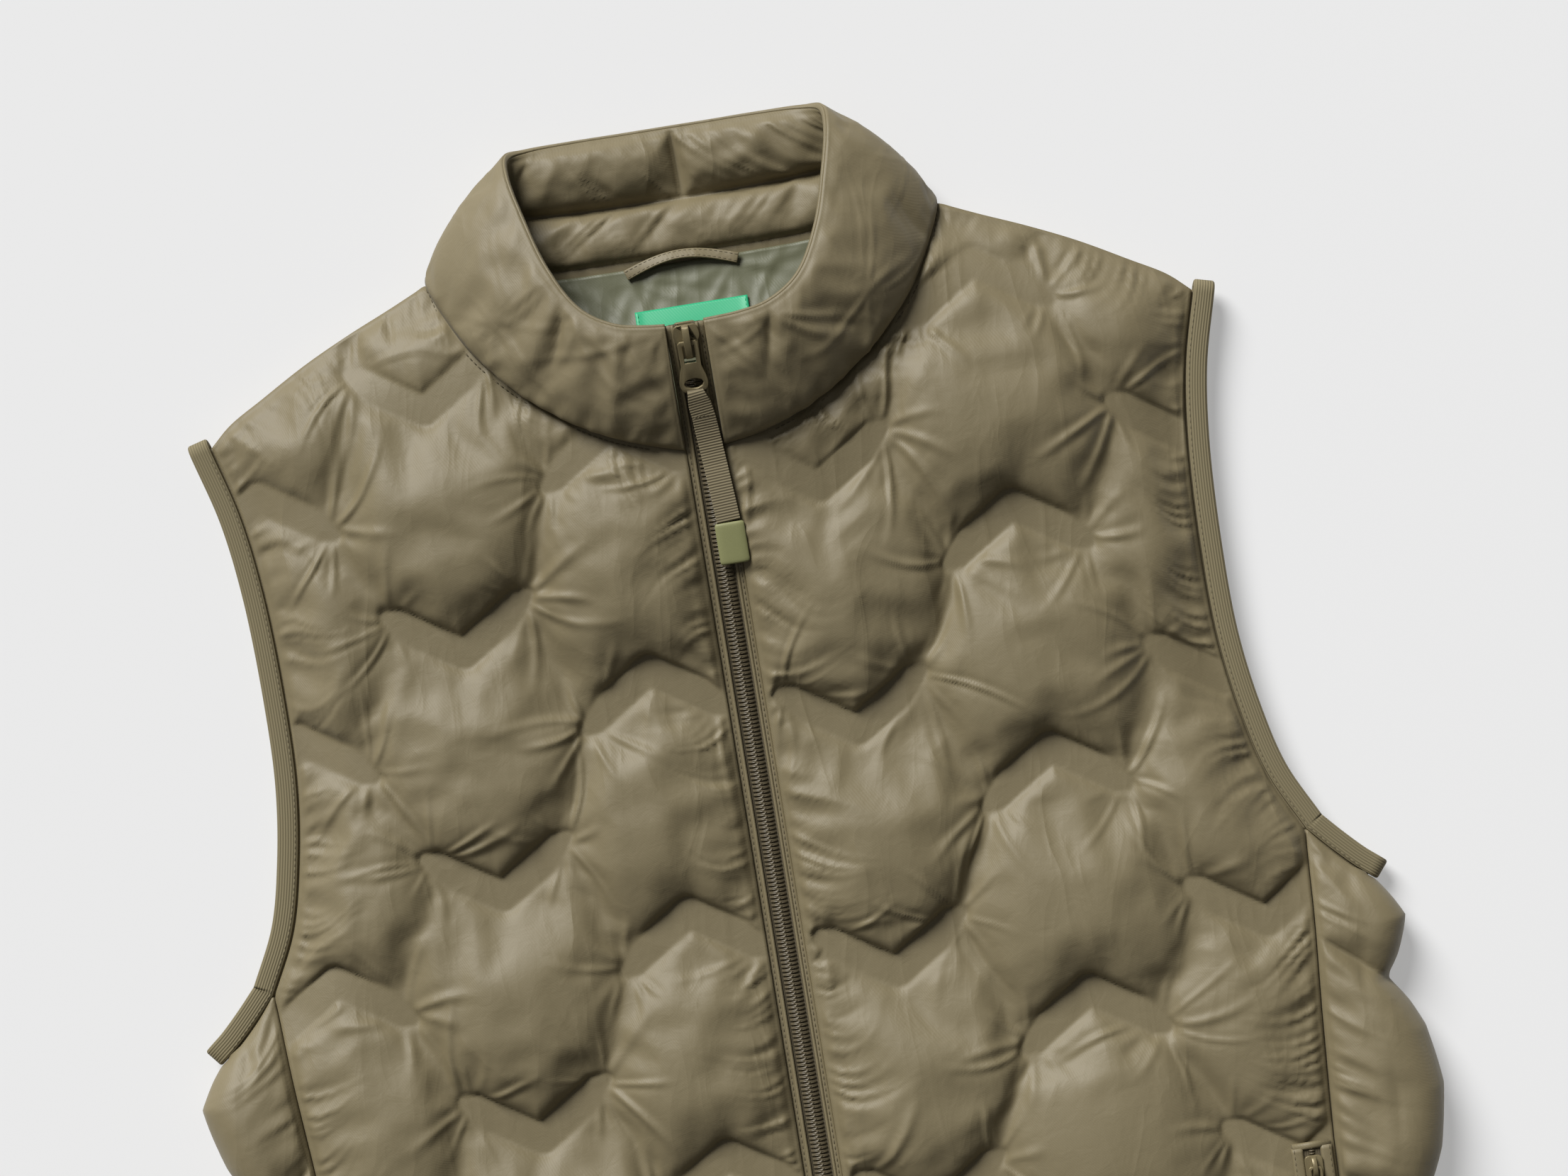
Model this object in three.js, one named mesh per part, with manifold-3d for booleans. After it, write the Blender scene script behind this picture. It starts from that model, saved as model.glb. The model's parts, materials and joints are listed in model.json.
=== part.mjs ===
// A padded, sleeveless, zip-front vest with a stand collar, laid flat on its back.
// Millimetres, +Z up. Shapes are worked out in the garment's own frame, whose origin is the
// centre of the front neck seam, +Y towards the collar and +X towards the wearer's left side.
// The finished group is shifted so that its origin is the middle of its footprint.
import * as THREE from 'three';
import { mergeVertices } from 'three/addons/utils/BufferGeometryUtils.js';
import Module from 'manifold-3d';

const wasm = await Module();
wasm.setup();

// Driving dimensions of the whole garment.
const HEM_Y = -575; // hem, 675 below the high point of the shoulder
const HEM_REACH = 300; // the hem's line runs past both side folds
const COLLAR_TOP_Y = 153; // top edge of the back collar
const ZIP_X = -4; // the closed zip runs a little to the wearer's right of the middle
const SEAM_GAP = 0.3; // two pieces stand this far apart at a seam
const NECK_GAP = 0.8; // the front panels' neckline stands this far inside the collar's seam
const SEAM_HALF = 2; // half the thickness of a padded wall at its seams

// Heights of the two layers above the floor.
const BACK_TOP = 18; // top side of the back panel
const BACK_EDGE = 6; // middle of the back panel's sewn edges
const FRONT_LEVEL = 21; // middle of the front wall at its quilting lines
const FRONT_EDGE = 12.5; // middle of the front wall at armhole and hem
const SHOULDER_EDGE = 11.2; // and along the shoulder, where it is sewn to the back
const SHOULDER_BLEND = 25; // how far from the shoulder the edge climbs from one to the other
const NECK_RISE = 15; // extra height of the front where it climbs to the collar
const NECK_HILL = { y: 5, half: 112, below: 85, above: 95 }; // and how far round the neck it reaches
const FRONT_DIP_WIDTH = 22; // how far in from an edge the front comes down
const BACK_DIP_WIDTH = 34;
const UNDERSIDE_ROUND = 7; // how far in from an edge the underside leaves the floor

// Quilting: bonded zigzag bands in columns that alternate between peaks and valleys.
const PUFF_HEIGHT = 15;
const PUFF_REACH = 21; // how far from a band a puff gains most of its height
const ROW_PITCH = 116;
const BAND_HALF_SPAN = 32;
const BAND_RISE = 21;
const BAND_HALF_WIDTH = 7.5;
const EDGE_FLAT = 3; // the sewn allowance along a panel's edge, which stays flat
const EDGE_REACH = 13;
const CREASE_DEPTH = 0.28; // share of the height lost along the line between two columns
const CREASE_WIDTH = 11;
const BAND_COLUMNS = [
  { x: -217, y: -106, peak: 1 },
  { x: -132, y: -79, peak: -1 },
  { x: -47, y: -100, peak: 1 },
  { x: 46, y: -144, peak: -1 },
  { x: 134, y: -166, peak: 1 },
  { x: 222, y: -148, peak: -1 },
];
const CREASES = [-174, -89, 90, 178];
const PUFF_CURVE = 1.5; // how steeply a puff rises from a band, and from a sewn edge
const EDGE_CURVE = 1.4;

// Half outlines of the cut pieces, from the middle outwards; both sides of the garment share them.
const NECKLINE = [
  { x: 25, y: 3.5 },
  { x: 47, y: 12 },
  { x: 76, y: 31 },
  { x: 101, y: 56 },
  { x: 115, y: 80 },
  { x: 121, y: 98 },
];
const NECK_POINT = NECKLINE[NECKLINE.length - 1]; // where the neck, the shoulder and the collar meet
const SHOULDER = [
  { ...NECK_POINT },
  { x: 142, y: 89 },
  { x: 163, y: 80 },
  { x: 186, y: 69 },
  { x: 209, y: 56 },
  { x: 226, y: 46 },
  { x: 236, y: 37 },
];
const ARMHOLE = [
  { x: 248, y: -225 },
  { x: 234, y: -196 },
  { x: 226, y: -164 },
  { x: 221, y: -128 },
  { x: 220, y: -87 },
  { x: 222, y: -35 },
  { x: 227, y: 3 },
  { x: 236, y: 37 },
];
const SIDE_SEAM = [
  { x: 235, y: HEM_Y },
  { x: 235, y: -450 },
  { x: 237, y: -370 },
  { x: 241, y: -310 },
  { x: 245, y: -262 },
  { x: 248, y: -225 },
];
// The underarm, from the side seam out to the fold.
const UNDERARM = [
  { x: 248, y: -225 },
  { x: 258, y: -236 },
  { x: 268, y: -246 },
  { x: 274, y: -251 },
];
const BACK_NECK = [
  { ...NECK_POINT },
  { x: 100, y: 94.5 },
  { x: 66, y: 90.5 },
  { x: 33, y: 89.5 },
  { x: 0, y: 89.5 },
];
// Outer edge of the side folds, wearer's right (image left) and left.
const FOLD = [
  { y: HEM_Y, right: 270, left: 272 },
  { y: -548, right: 280, left: 281 },
  { y: -522, right: 286, left: 276 },
  { y: -480, right: 288, left: 286 },
  { y: -446, right: 279, left: 290 },
  { y: -412, right: 285, left: 279 },
  { y: -378, right: 288, left: 287 },
  { y: -349, right: 284, left: 290 },
  { y: -322, right: 277, left: 287 },
  { y: -299, right: 282, left: 277 },
  { y: -270, right: 284, left: 284 },
  { y: -251, right: 274, left: 274 },
];

// The side panels' padding, which fades near their top edge and hem and swells with the rows.
const SIDE_PAD = {
  depth: 8, curve: 0.7, topReach: 18, hemReach: 14, height: 340, least: 0.72, swell: 0.28, swellY: -270,
};
const SIDE_TOP = { seamY: -228.5, dip: 26, curve: 0.9 }; // the top edge dips from its seams to the fold
const SWELL_TURN = { left: 0.6, right: 2.2 };

// Stand collar: stations round half the neck, from the zip to the middle of the back.
// The seam at the base and the top edge, with the share of full padding on the inside.
const COLLAR = [
  { x: 9, y: 0, layer: 'front', topX: 9, topY: 56, topZ: 62, padding: 0.4 },
  { x: 25, y: 3.5, layer: 'front', topX: 22, topY: 57, topZ: 62, padding: 0.8 },
  { x: 47, y: 12, layer: 'front', topX: 36, topY: 60, topZ: 61, padding: 0.8 },
  { x: 76, y: 31, layer: 'front', topX: 51, topY: 70, topZ: 58, padding: 0.8 },
  { x: 101, y: 56, layer: 'front', topX: 63, topY: 91, topZ: 52, padding: 0.6 },
  { x: 115, y: 80, layer: 'front', topX: 71, topY: 117, topZ: 43, padding: 0.3 },
  { x: 121.5, y: 97, layer: 'front', topX: 76, topY: 140, topZ: 32, padding: 0.15 },
  { x: 119, y: 102, layer: 'fold', topX: 75, topY: 149.5, topZ: 22, padding: 0.15 },
  { x: 100, y: 97, layer: 'back', topX: 66, topY: 152, topZ: 14.5, padding: 0.4 },
  { x: 66, y: 92.3, layer: 'back', topX: 44, topY: COLLAR_TOP_Y, topZ: 10, padding: 1 },
  { x: 33, y: 91, layer: 'back', topX: 22, topY: COLLAR_TOP_Y, topZ: 9, padding: 1 },
  { x: 0, y: 91, layer: 'back', topX: 0, topY: COLLAR_TOP_Y, topZ: 9, padding: 1 },
];
const COLLAR_BULGE = 4;
const COLLAR_OUTER_PAD = 4.5;
const COLLAR_INNER_PAD = 6;
const COLLAR_ARCH = 0.7; // lower is fuller towards the seams
const FOLD_LIFT = 1; // the collar's seam over the back's edge, where the shoulder folds
const COLLAR_CHANNEL = 0.46; // height of the sewn line between the inner collar's two channels

// Bindings, zip and small parts.
const BINDING = { width: 10, thickness: 4, inset: 0.7, lift: 0.4, steps: 20 };
const CORNER_CUT = 0.3; // share of a tape's thickness that its corners are cut by
const ZIP_STEPS = 34;
const CHAIN = { width: 7.8, thickness: 2.6, topY: 38.5, bottomY: -562 };
const TAPE = { inner: 4.2, outer: 8.5, thickness: 1.6 };
const PANEL_EDGE = 9; // from the zip's middle to the panels' edges
const ZIP_BOX = { width: 8.4, length: 11, thickness: 3.4 };
const SLIDER = {
  y: 48.5, width: 12.4, length: 16.5, plate: 1.6, halfGap: 1.2, post: 2.8, crown: 3.2, crownHeight: 2.8,
};
const PIN_HOLE = { along: 1.9, up: 1.6 }; // in the slider's crown, as half sizes
const PULL = {
  width: 9.6, flare: 13.4, length: 24, thickness: 1.6, window: 9.6, rail: 2.1, lift: 4.5, bar: 1.1,
};
const EYE = { fromEnd: 4.1, across: 4.6, along: 2.6 }; // the pull's oval hole, as half sizes
const RIBBON = { width: 11.2, thickness: 1.8, lift: 5, topY: 26, bottomY: -36.5, drift: 4, shift: 1.5 };
const TIP = { width: 14, length: 19.5, thickness: 2.8, corner: 1.6 };
const POCKET = {
  topY: -372, bottomY: -530, width: 19, inset: 2, thickness: 1.4, clear: 9, blend: 21, steps: 16,
};
const POCKET_SLIDER = { width: 8.4, length: 11, thickness: 2.6, corner: 2.4, fromTop: 4, bridge: 2.2 };
const POCKET_HOLE = { up: 1.45, halfLength: 1.35, halfHeight: 1.15 };
const POCKET_PULL = { width: 6.6, length: 19, thickness: 1.4, rail: 1.3, corner: 2, innerCorner: 1.2 };
const LOOP = {
  half: 27, x: -1.5, y: 86.5, width: 5, thickness: 1.5, bow: 6, rise: 0.8, seamY: 90, steps: 18,
};
const LABEL = { thickness: 0.7, halfShare: 0.055, fromRow: 1.96, toRow: 1.04 }; // rows down from the neck
const LINING_THICKNESS = 1.2;
const LINING_ROWS = 6;

// Cells of the cloth pieces' outer skins, and how many of them one inner cell spans.
const FRONT_GRID = { columns: 22, rows: 54, step: 2 };
const SIDE_GRID = { columns: 14, rows: 26, step: 2 };
const COLLAR_GRID = { columns: 44, rows: 8, step: 2 };
const BACK_GRID = { columns: 16, rows: 32, step: 2 };

const JOIN = 0.5; // how far parts of one casting run into each other
const UP = new THREE.Vector3(0, 0, 1);
const { lerp, smoothstep, clamp } = THREE.MathUtils;

/** A smooth open curve through the rows of a table, mirrored to the wearer's right when side is -1. */
function curveThrough(rows, side = 1) {
  const points = rows.map((row) => new THREE.Vector3(side * row.x, row.y, 0));
  return new THREE.CatmullRomCurve3(points, false, 'centripetal');
}

/** Points spread evenly along a curve. */
const samplesOf = (curve, count = 60) => curve.getSpacedPoints(count);

/** Distance in plan from a point to a chain of points. */
function distanceTo(chain, x, y) {
  let nearest = Infinity;
  for (let i = 1; i < chain.length; i++) {
    const a = chain[i - 1];
    const dx = chain[i].x - a.x;
    const dy = chain[i].y - a.y;
    const along = clamp(((x - a.x) * dx + (y - a.y) * dy) / (dx * dx + dy * dy || 1), 0, 1);
    nearest = Math.min(nearest, Math.hypot(x - a.x - along * dx, y - a.y - along * dy));
  }
  return nearest;
}

/** The value of a table's column at y, straight between its rows. */
function tableAt(rows, y, column) {
  const next = rows.findIndex((row) => row.y >= y);
  if (next < 1) return next === 0 ? rows[0][column] : rows[rows.length - 1][column];
  const low = rows[next - 1];
  const high = rows[next];
  return lerp(low[column], high[column], (y - low.y) / (high.y - low.y));
}

const sides = [1, -1];
const shoulderEdges = sides.map((side) => samplesOf(curveThrough(SHOULDER, side)));
const armholeEdges = sides.map((side) => samplesOf(curveThrough(ARMHOLE, side)));
const underarmEdges = sides.map((side) => samplesOf(curveThrough(UNDERARM, side), 20));
const hemEdge = sides.map((side) => new THREE.Vector3(side * HEM_REACH, HEM_Y, 0));
const sideSeams = sides.map((side) => samplesOf(curveThrough(SIDE_SEAM, side)));
const backNeck = sides.map((side) => samplesOf(curveThrough(BACK_NECK, side)));
const openEdges = [...armholeEdges, ...underarmEdges, hemEdge];
const backEdges = [...shoulderEdges, ...armholeEdges, ...sideSeams, ...backNeck, hemEdge];

const distanceToAny = (chains, x, y) => Math.min(...chains.map((chain) => distanceTo(chain, x, y)));

/** Height of the middle of the front wall before its puffs are raised. */
function frontLevel(x, y) {
  const down = y < NECK_HILL.y ? NECK_HILL.below : NECK_HILL.above;
  const neck = Math.exp(-((x / NECK_HILL.half) ** 2) - ((y - NECK_HILL.y) / down) ** 2);
  const flat = FRONT_LEVEL + NECK_RISE * neck;
  const shoulder = distanceToAny(shoulderEdges, x, y);
  const edge = Math.min(shoulder, distanceToAny(openEdges, x, y));
  const atEdge = lerp(FRONT_EDGE, SHOULDER_EDGE, Math.exp(-((shoulder / SHOULDER_BLEND) ** 2)));
  return flat - (flat - atEdge) * Math.exp(-((edge / FRONT_DIP_WIDTH) ** 2));
}

/** Height of the back panel's top side. */
function backTop(x, y) {
  const edge = distanceToAny(backEdges, x, y);
  const edgeTop = BACK_EDGE + SEAM_HALF;
  return BACK_TOP - (BACK_TOP - edgeTop) * Math.exp(-((edge / BACK_DIP_WIDTH) ** 2));
}

/** Distance in plan from a point to the nearest bonded zigzag band. */
function bandDistance(x, y) {
  let nearest = Infinity;
  for (const column of BAND_COLUMNS) {
    const row = Math.round((y - column.y) / ROW_PITCH);
    for (const step of [row - 1, row, row + 1]) {
      const middle = column.y + step * ROW_PITCH;
      const ends = middle - column.peak * BAND_RISE;
      const band = [
        { x: column.x - BAND_HALF_SPAN, y: ends },
        { x: column.x, y: middle },
        { x: column.x + BAND_HALF_SPAN, y: ends },
      ];
      nearest = Math.min(nearest, distanceTo(band, x, y));
    }
  }
  return Math.max(0, nearest - BAND_HALF_WIDTH);
}

/** How far a puff stands above the front's level, given the distance to the panel's nearest edge. */
function puff(x, y, edge) {
  const rise = 1 - Math.exp(-((bandDistance(x, y) / PUFF_REACH) ** PUFF_CURVE));
  const fromEdge = 1 - Math.exp(-((Math.max(0, edge - EDGE_FLAT) / EDGE_REACH) ** EDGE_CURVE));
  const crease = Math.min(...CREASES.map((line) => Math.abs(x - line)));
  const creased = 1 - CREASE_DEPTH * Math.exp(-((crease / CREASE_WIDTH) ** 2));
  return PUFF_HEIGHT * rise * fromEdge * creased;
}

/** A patch spanned between four boundary curves, each a function from 0 to 1 to a point. */
function patchBetween({ bottom, top, inner, outer }) {
  const corners = [bottom(0), bottom(1), top(0), top(1)];
  return (u, v) => {
    const point = new THREE.Vector3();
    point.addScaledVector(bottom(u), 1 - v).addScaledVector(top(u), v);
    point.addScaledVector(inner(v), 1 - u).addScaledVector(outer(v), u);
    point.addScaledVector(corners[0], -(1 - u) * (1 - v)).addScaledVector(corners[1], -u * (1 - v));
    return point.addScaledVector(corners[2], -(1 - u) * v).addScaledVector(corners[3], -u * v);
  };
}

/** Runs several curves as one, sharing the parameter out by their lengths. */
function chainOf(...curves) {
  const path = new THREE.CurvePath();
  curves.forEach((curve) => path.add(curve));
  return (t) => path.getPointAt(clamp(t, 0, 1));
}

const straight = (a, b) => new THREE.LineCurve3(a, b);

/** Turns indices so that the closed surface they describe faces outwards. */
function facingOut(positions, indices) {
  let volume = 0;
  const corner = (n) => new THREE.Vector3(...positions.slice(3 * n, 3 * n + 3));
  for (let i = 0; i < indices.length; i += 3) {
    const [a, b, c] = [0, 1, 2].map((k) => corner(indices[i + k]));
    volume += a.dot(b.cross(c));
  }
  if (volume < 0) indices.reverse();
  const geometry = new THREE.BufferGeometry();
  geometry.setAttribute('position', new THREE.Float32BufferAttribute(positions, 3));
  geometry.setIndex(indices);
  return geometry;
}

/**
 * A closed wall of cloth: a fine outer skin over a plain inner skin, joined round their rims.
 * The inner skin has one point for every `step` points of the outer one.
 */
function wall({ columns, rows, step = 1, outerAt, innerAt }) {
  const positions = [];
  const indices = [];
  const addSkin = (across, along, pointAt, turned) => {
    const grid = [];
    for (let j = 0; j <= along; j++) {
      grid.push([]);
      for (let i = 0; i <= across; i++) {
        const p = pointAt(i / across, j / along);
        grid[j].push(positions.push(p.x, p.y, p.z) / 3 - 1);
      }
    }
    for (let j = 0; j < along; j++) {
      for (let i = 0; i < across; i++) {
        const quad = [grid[j][i], grid[j][i + 1], grid[j + 1][i + 1], grid[j + 1][i]];
        // Split each cell along its shorter diagonal.
        const [a, b, c, d] = quad.map((n) => new THREE.Vector3(...positions.slice(3 * n, 3 * n + 3)));
        if (b.distanceTo(d) < a.distanceTo(c) - 0.5) quad.push(quad.shift());
        if (turned) quad.reverse();
        indices.push(quad[0], quad[1], quad[2], quad[0], quad[2], quad[3]);
      }
    }
    const rim = [];
    for (let i = 0; i < across; i++) rim.push(grid[0][i]);
    for (let j = 0; j < along; j++) rim.push(grid[j][across]);
    for (let i = across; i > 0; i--) rim.push(grid[along][i]);
    for (let j = along; j > 0; j--) rim.push(grid[j][0]);
    return rim;
  };
  const outerRim = addSkin(columns, rows, outerAt, false);
  const innerRim = addSkin(columns / step, rows / step, innerAt, true);
  innerRim.forEach((near, j) => {
    const far = innerRim[(j + 1) % innerRim.length];
    const half = j * step + Math.ceil(step / 2);
    for (let i = j * step; i < (j + 1) * step; i++) {
      indices.push(outerRim[(i + 1) % outerRim.length], outerRim[i], i < half ? near : far);
    }
    indices.push(near, far, outerRim[half % outerRim.length]);
  });
  return facingOut(positions, indices);
}

/** A closed solid through a list of equal rings, capped at both ends or joined into a loop. */
function loft(rings, looped = false) {
  const count = rings[0].length;
  const positions = rings.flat().flatMap((p) => [p.x, p.y, p.z]);
  const indices = [];
  const last = looped ? rings.length : rings.length - 1;
  for (let r = 0; r < last; r++) {
    const next = (r + 1) % rings.length;
    for (let k = 0; k < count; k++) {
      const [a, b] = [r * count + k, r * count + ((k + 1) % count)];
      const [c, d] = [next * count + k, next * count + ((k + 1) % count)];
      indices.push(a, b, d, a, d, c);
    }
  }
  if (!looped) {
    const end = (rings.length - 1) * count;
    for (let k = 1; k < count - 1; k++) {
      indices.push(0, k + 1, k, end, end + k, end + k + 1);
    }
  }
  return facingOut(positions, indices);
}

/** A ring with cut corners about a centre, `width` along one direction and `thickness` along the other. */
function tapeRing(centre, across, through, width, thickness) {
  const cut = Math.min(width, thickness) * CORNER_CUT;
  const [w, t] = [width / 2, thickness / 2];
  const corners = [[w - cut, -t], [w, -t + cut], [w, t - cut], [w - cut, t]];
  const mirrored = corners.map(([a, b]) => [-a, -b]);
  return [...corners, ...mirrored].map(([a, b]) => (
    centre.clone().addScaledVector(across, a).addScaledVector(through, b)));
}

/** A plain four-cornered ring. */
function boxRing(centre, across, through, width, thickness) {
  return [[1, -1], [1, 1], [-1, 1], [-1, -1]].map(([a, b]) => (
    centre.clone().addScaledVector(across, (a * width) / 2).addScaledVector(through, (b * thickness) / 2)));
}

const garment = new THREE.Group();

/** Adds one named piece to the garment, or to a group of its own frame. */
function addPiece(name, geometry, { color, roughness = 0.6, metalness = 0 }, parent = garment) {
  const mesh = new THREE.Mesh(geometry, new THREE.MeshStandardMaterial({ color, roughness, metalness }));
  mesh.name = name;
  parent.add(mesh);
  return mesh;
}

const SHELL = { color: '#7d735c', roughness: 0.5 };
const LINING = { color: '#7c7a63', roughness: 0.55 };
const BINDING_CLOTH = { color: '#766d54', roughness: 0.85 };
const ZIP_TAPE = { color: '#5f5641', roughness: 0.85 };
const ZIP_CHAIN = { color: '#4c4636', roughness: 0.45 };
const ZIP_METAL = { color: '#847757', roughness: 0.4, metalness: 0.4 };
const WEBBING = { color: '#6d644d', roughness: 0.9 };
const RUBBER = { color: '#8b8a63', roughness: 0.6 };
const LABEL_CLOTH = { color: '#33c487', roughness: 0.7 };

/** Each side's word for the piece names: +1 is the wearer's left. */
const sideName = (side) => (side > 0 ? 'left' : 'right');

/** Front panel from the zip to the side seam, with its neckline, shoulder and armhole edges. */
function frontPanel(side) {
  const zipEdge = ZIP_X + side * PANEL_EDGE;
  const neckCurve = curveThrough([{ x: side * zipEdge, y: -NECK_GAP }, ...NECKLINE.map(({ x, y }) => (
    { x: x + NECK_GAP * (y / NECK_POINT.y), y: y - NECK_GAP }))], side);
  const shoulderCurve = curveThrough(SHOULDER.map(({ x, y }) => (
    { x: x + (x === NECK_POINT.x ? NECK_GAP : -SEAM_GAP), y: y - NECK_GAP })), side);
  const outerCurves = [
    curveThrough(SIDE_SEAM.map(({ x, y }) => ({ x: x - SEAM_GAP, y })), side),
    curveThrough(ARMHOLE.map(({ x, y }) => ({ x: x - SEAM_GAP, y })), side),
  ];
  const hemStart = new THREE.Vector3(zipEdge, HEM_Y, 0);
  const hemEnd = new THREE.Vector3(side * (SIDE_SEAM[0].x - SEAM_GAP), HEM_Y, 0);
  const boundary = {
    bottom: chainOf(straight(hemStart, hemEnd)),
    top: chainOf(neckCurve, shoulderCurve),
    inner: chainOf(straight(hemStart, new THREE.Vector3(zipEdge, -NECK_GAP, 0))),
    outer: chainOf(...outerCurves),
  };
  const patch = patchBetween(boundary);
  const rim = Object.values(boundary).map((edge) => Array.from({ length: 81 }, (_, i) => edge(i / 80)));
  const outerAt = (u, v) => {
    const p = patch(u, v);
    const edge = distanceToAny(rim, p.x, p.y);
    const height = puff(p.x, p.y, edge) * awayFromPocket(p.x, p.y, side);
    return p.setZ(frontLevel(p.x, p.y) + SEAM_HALF + height);
  };
  const innerAt = (u, v) => {
    const p = patch(u, v);
    return p.setZ(frontLevel(p.x, p.y) - SEAM_HALF);
  };
  return wall({ ...FRONT_GRID, outerAt, innerAt });
}

/** Share of a puff's height that is left near the pocket opening, where the cloth is held flat. */
function awayFromPocket(x, y, side) {
  const middle = pocketX(clamp(y, POCKET.bottomY, POCKET.topY), side);
  const beside = Math.max(0, Math.abs(x - middle) - POCKET.width / 2);
  const beyond = Math.max(0, y - POCKET.topY, POCKET.bottomY - y);
  return smoothstep(Math.hypot(beside, beyond), POCKET.clear, POCKET.clear + POCKET.blend);
}

/** The middle of the pocket opening at height y: it runs beside the side seam. */
function pocketX(y, side) {
  return side * (tableAt(SIDE_SEAM, y, 'x') - POCKET.inset - POCKET.width / 2);
}

/** The share of the back's top edge at which the neck begins. */
function neckShare() {
  const lengths = [SHOULDER, BACK_NECK].map((rows) => curveThrough(rows).getLength());
  return lengths[0] / (2 * (lengths[0] + lengths[1]));
}

/** Plan position on the back panel: u across from the wearer's right, v up from the hem. */
const backPatch = (() => {
  const up = (side) => chainOf(...[SIDE_SEAM, ARMHOLE].map((rows) => (
    curveThrough(rows.map(({ x, y }) => ({ x: x - SEAM_GAP, y })), side))));
  const corner = SIDE_SEAM[0].x - SEAM_GAP;
  const shoulder = SHOULDER.map(({ x, y }) => ({ x: x - SEAM_GAP, y: y - SEAM_GAP }));
  const neck = BACK_NECK.map(({ x, y }) => ({ x, y: y - SEAM_GAP }));
  return patchBetween({
    bottom: chainOf(straight(new THREE.Vector3(-corner, HEM_Y, 0), new THREE.Vector3(corner, HEM_Y, 0))),
    top: chainOf(
      curveThrough([...shoulder].reverse(), -1),
      curveThrough(neck, -1),
      curveThrough([...neck].reverse(), 1),
      curveThrough(shoulder, 1),
    ),
    inner: up(-1),
    outer: up(1),
  });
})();

/** The back: one padded panel whose underside lies flat on the floor and rounds up at its seams. */
function backPanel() {
  const topAt = (u, v) => {
    const p = backPatch(u, v);
    return p.setZ(backTop(p.x, p.y));
  };
  const bottomAt = (u, v) => {
    const p = backPatch(u, v);
    const edge = distanceToAny(backEdges, p.x, p.y);
    return p.setZ((BACK_EDGE - SEAM_HALF) * Math.exp(-((edge / UNDERSIDE_ROUND) ** 2)));
  };
  return wall({ ...BACK_GRID, outerAt: topAt, innerAt: bottomAt });
}

/** A thin layer on the back panel's own grid points, from one column and row of it to another. */
function layerOnBack({ fromU, toU, fromV, toV, columns, rows, lift, thickness }) {
  const cell = (share, count) => {
    const at = clamp(share * count, 0, count);
    const low = Math.min(Math.floor(at), count - 1);
    return [low / count, (low + 1) / count, at - low];
  };
  // Height of the back's top skin on its two flat triangles, so that the layer lies on its facets.
  const skinAt = (u, v) => {
    const [u0, u1, s] = cell(u, BACK_GRID.columns);
    const [v0, v1, t] = cell(v, BACK_GRID.rows);
    const corner = (a, b) => {
      const p = backPatch(a, b);
      return p.setZ(backTop(p.x, p.y));
    };
    const [a, c] = [corner(u0, v0), corner(u1, v1)];
    const b = s >= t ? corner(u1, v0) : corner(u0, v1);
    const [wb, wc] = s >= t ? [s - t, t] : [t - s, s];
    return a.clone().multiplyScalar(1 - wb - wc).addScaledVector(b, wb).addScaledVector(c, wc);
  };
  const at = (height) => (u, v) => {
    const p = skinAt(lerp(fromU, toU, u), lerp(fromV, toV, v));
    return p.setZ(p.z + height);
  };
  return wall({ columns, rows, outerAt: at(lift + thickness), innerAt: at(lift) });
}

/**
 * Side panel: wraps from the front's side seam round the fold to the back's.
 * Its middle runs as two arms joined by a half circle, and the outside is padded.
 */
function sidePanel(side) {
  const word = sideName(side);
  const topRow = (s) => SIDE_TOP.seamY - SIDE_TOP.dip * Math.sin(Math.PI * s) ** SIDE_TOP.curve;
  const section = (s, v) => {
    const y = lerp(HEM_Y, topRow(s), v);
    const seamX = tableAt(SIDE_SEAM, Math.min(y, ARMHOLE[0].y), 'x') + SEAM_GAP;
    const upper = frontLevel(side * seamX, y);
    const radius = (upper - BACK_EDGE) / 2;
    const fromTop = 1 - Math.exp(-((((1 - v) * SIDE_PAD.height) / SIDE_PAD.topReach) ** 2));
    const fromHem = 1 - Math.exp(-(((v * SIDE_PAD.height) / SIDE_PAD.hemReach) ** 2));
    const turnOfRow = ((y - SIDE_PAD.swellY) / ROW_PITCH) * 2 * Math.PI + SWELL_TURN[word];
    const swell = SIDE_PAD.least + SIDE_PAD.swell * Math.sin(turnOfRow);
    const full = SIDE_PAD.depth * Math.sin(Math.PI * s) ** SIDE_PAD.curve;
    const pad = SEAM_HALF + full * fromTop * fromHem * swell;
    const reach = tableAt(FOLD, y, word) - seamX - pad - radius;
    const bend = Math.PI * radius;
    const along = s * (2 * reach + bend);
    const turn = clamp((along - reach) / radius, 0, Math.PI);
    const arm = along < reach ? along : Math.max(0, 2 * reach + bend - along);
    const middle = new THREE.Vector3(
      seamX + Math.min(arm, reach) + radius * Math.sin(turn),
      y,
      BACK_EDGE + radius + radius * Math.cos(turn),
    );
    const normal = new THREE.Vector3(Math.sin(turn), 0, Math.cos(turn));
    return { middle, normal, pad };
  };
  const outerAt = (s, v) => {
    const { middle, normal, pad } = section(s, v);
    const p = middle.addScaledVector(normal, pad);
    return new THREE.Vector3(side * p.x, p.y, Math.max(0, p.z));
  };
  const innerAt = (s, v) => {
    const { middle, normal } = section(s, v);
    const p = middle.addScaledVector(normal, -SEAM_HALF);
    return new THREE.Vector3(side * p.x, p.y, p.z);
  };
  return wall({ ...SIDE_GRID, outerAt, innerAt });
}

/** Height of the collar's seam at one station: it stands on the front panels and meets the back's edge. */
function collarBase({ x, y, layer }) {
  const onFront = frontLevel(x, y) + SEAM_HALF + 2 * SEAM_GAP;
  return { front: onFront, fold: BACK_EDGE + SEAM_HALF + FOLD_LIFT, back: BACK_EDGE }[layer];
}

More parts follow.
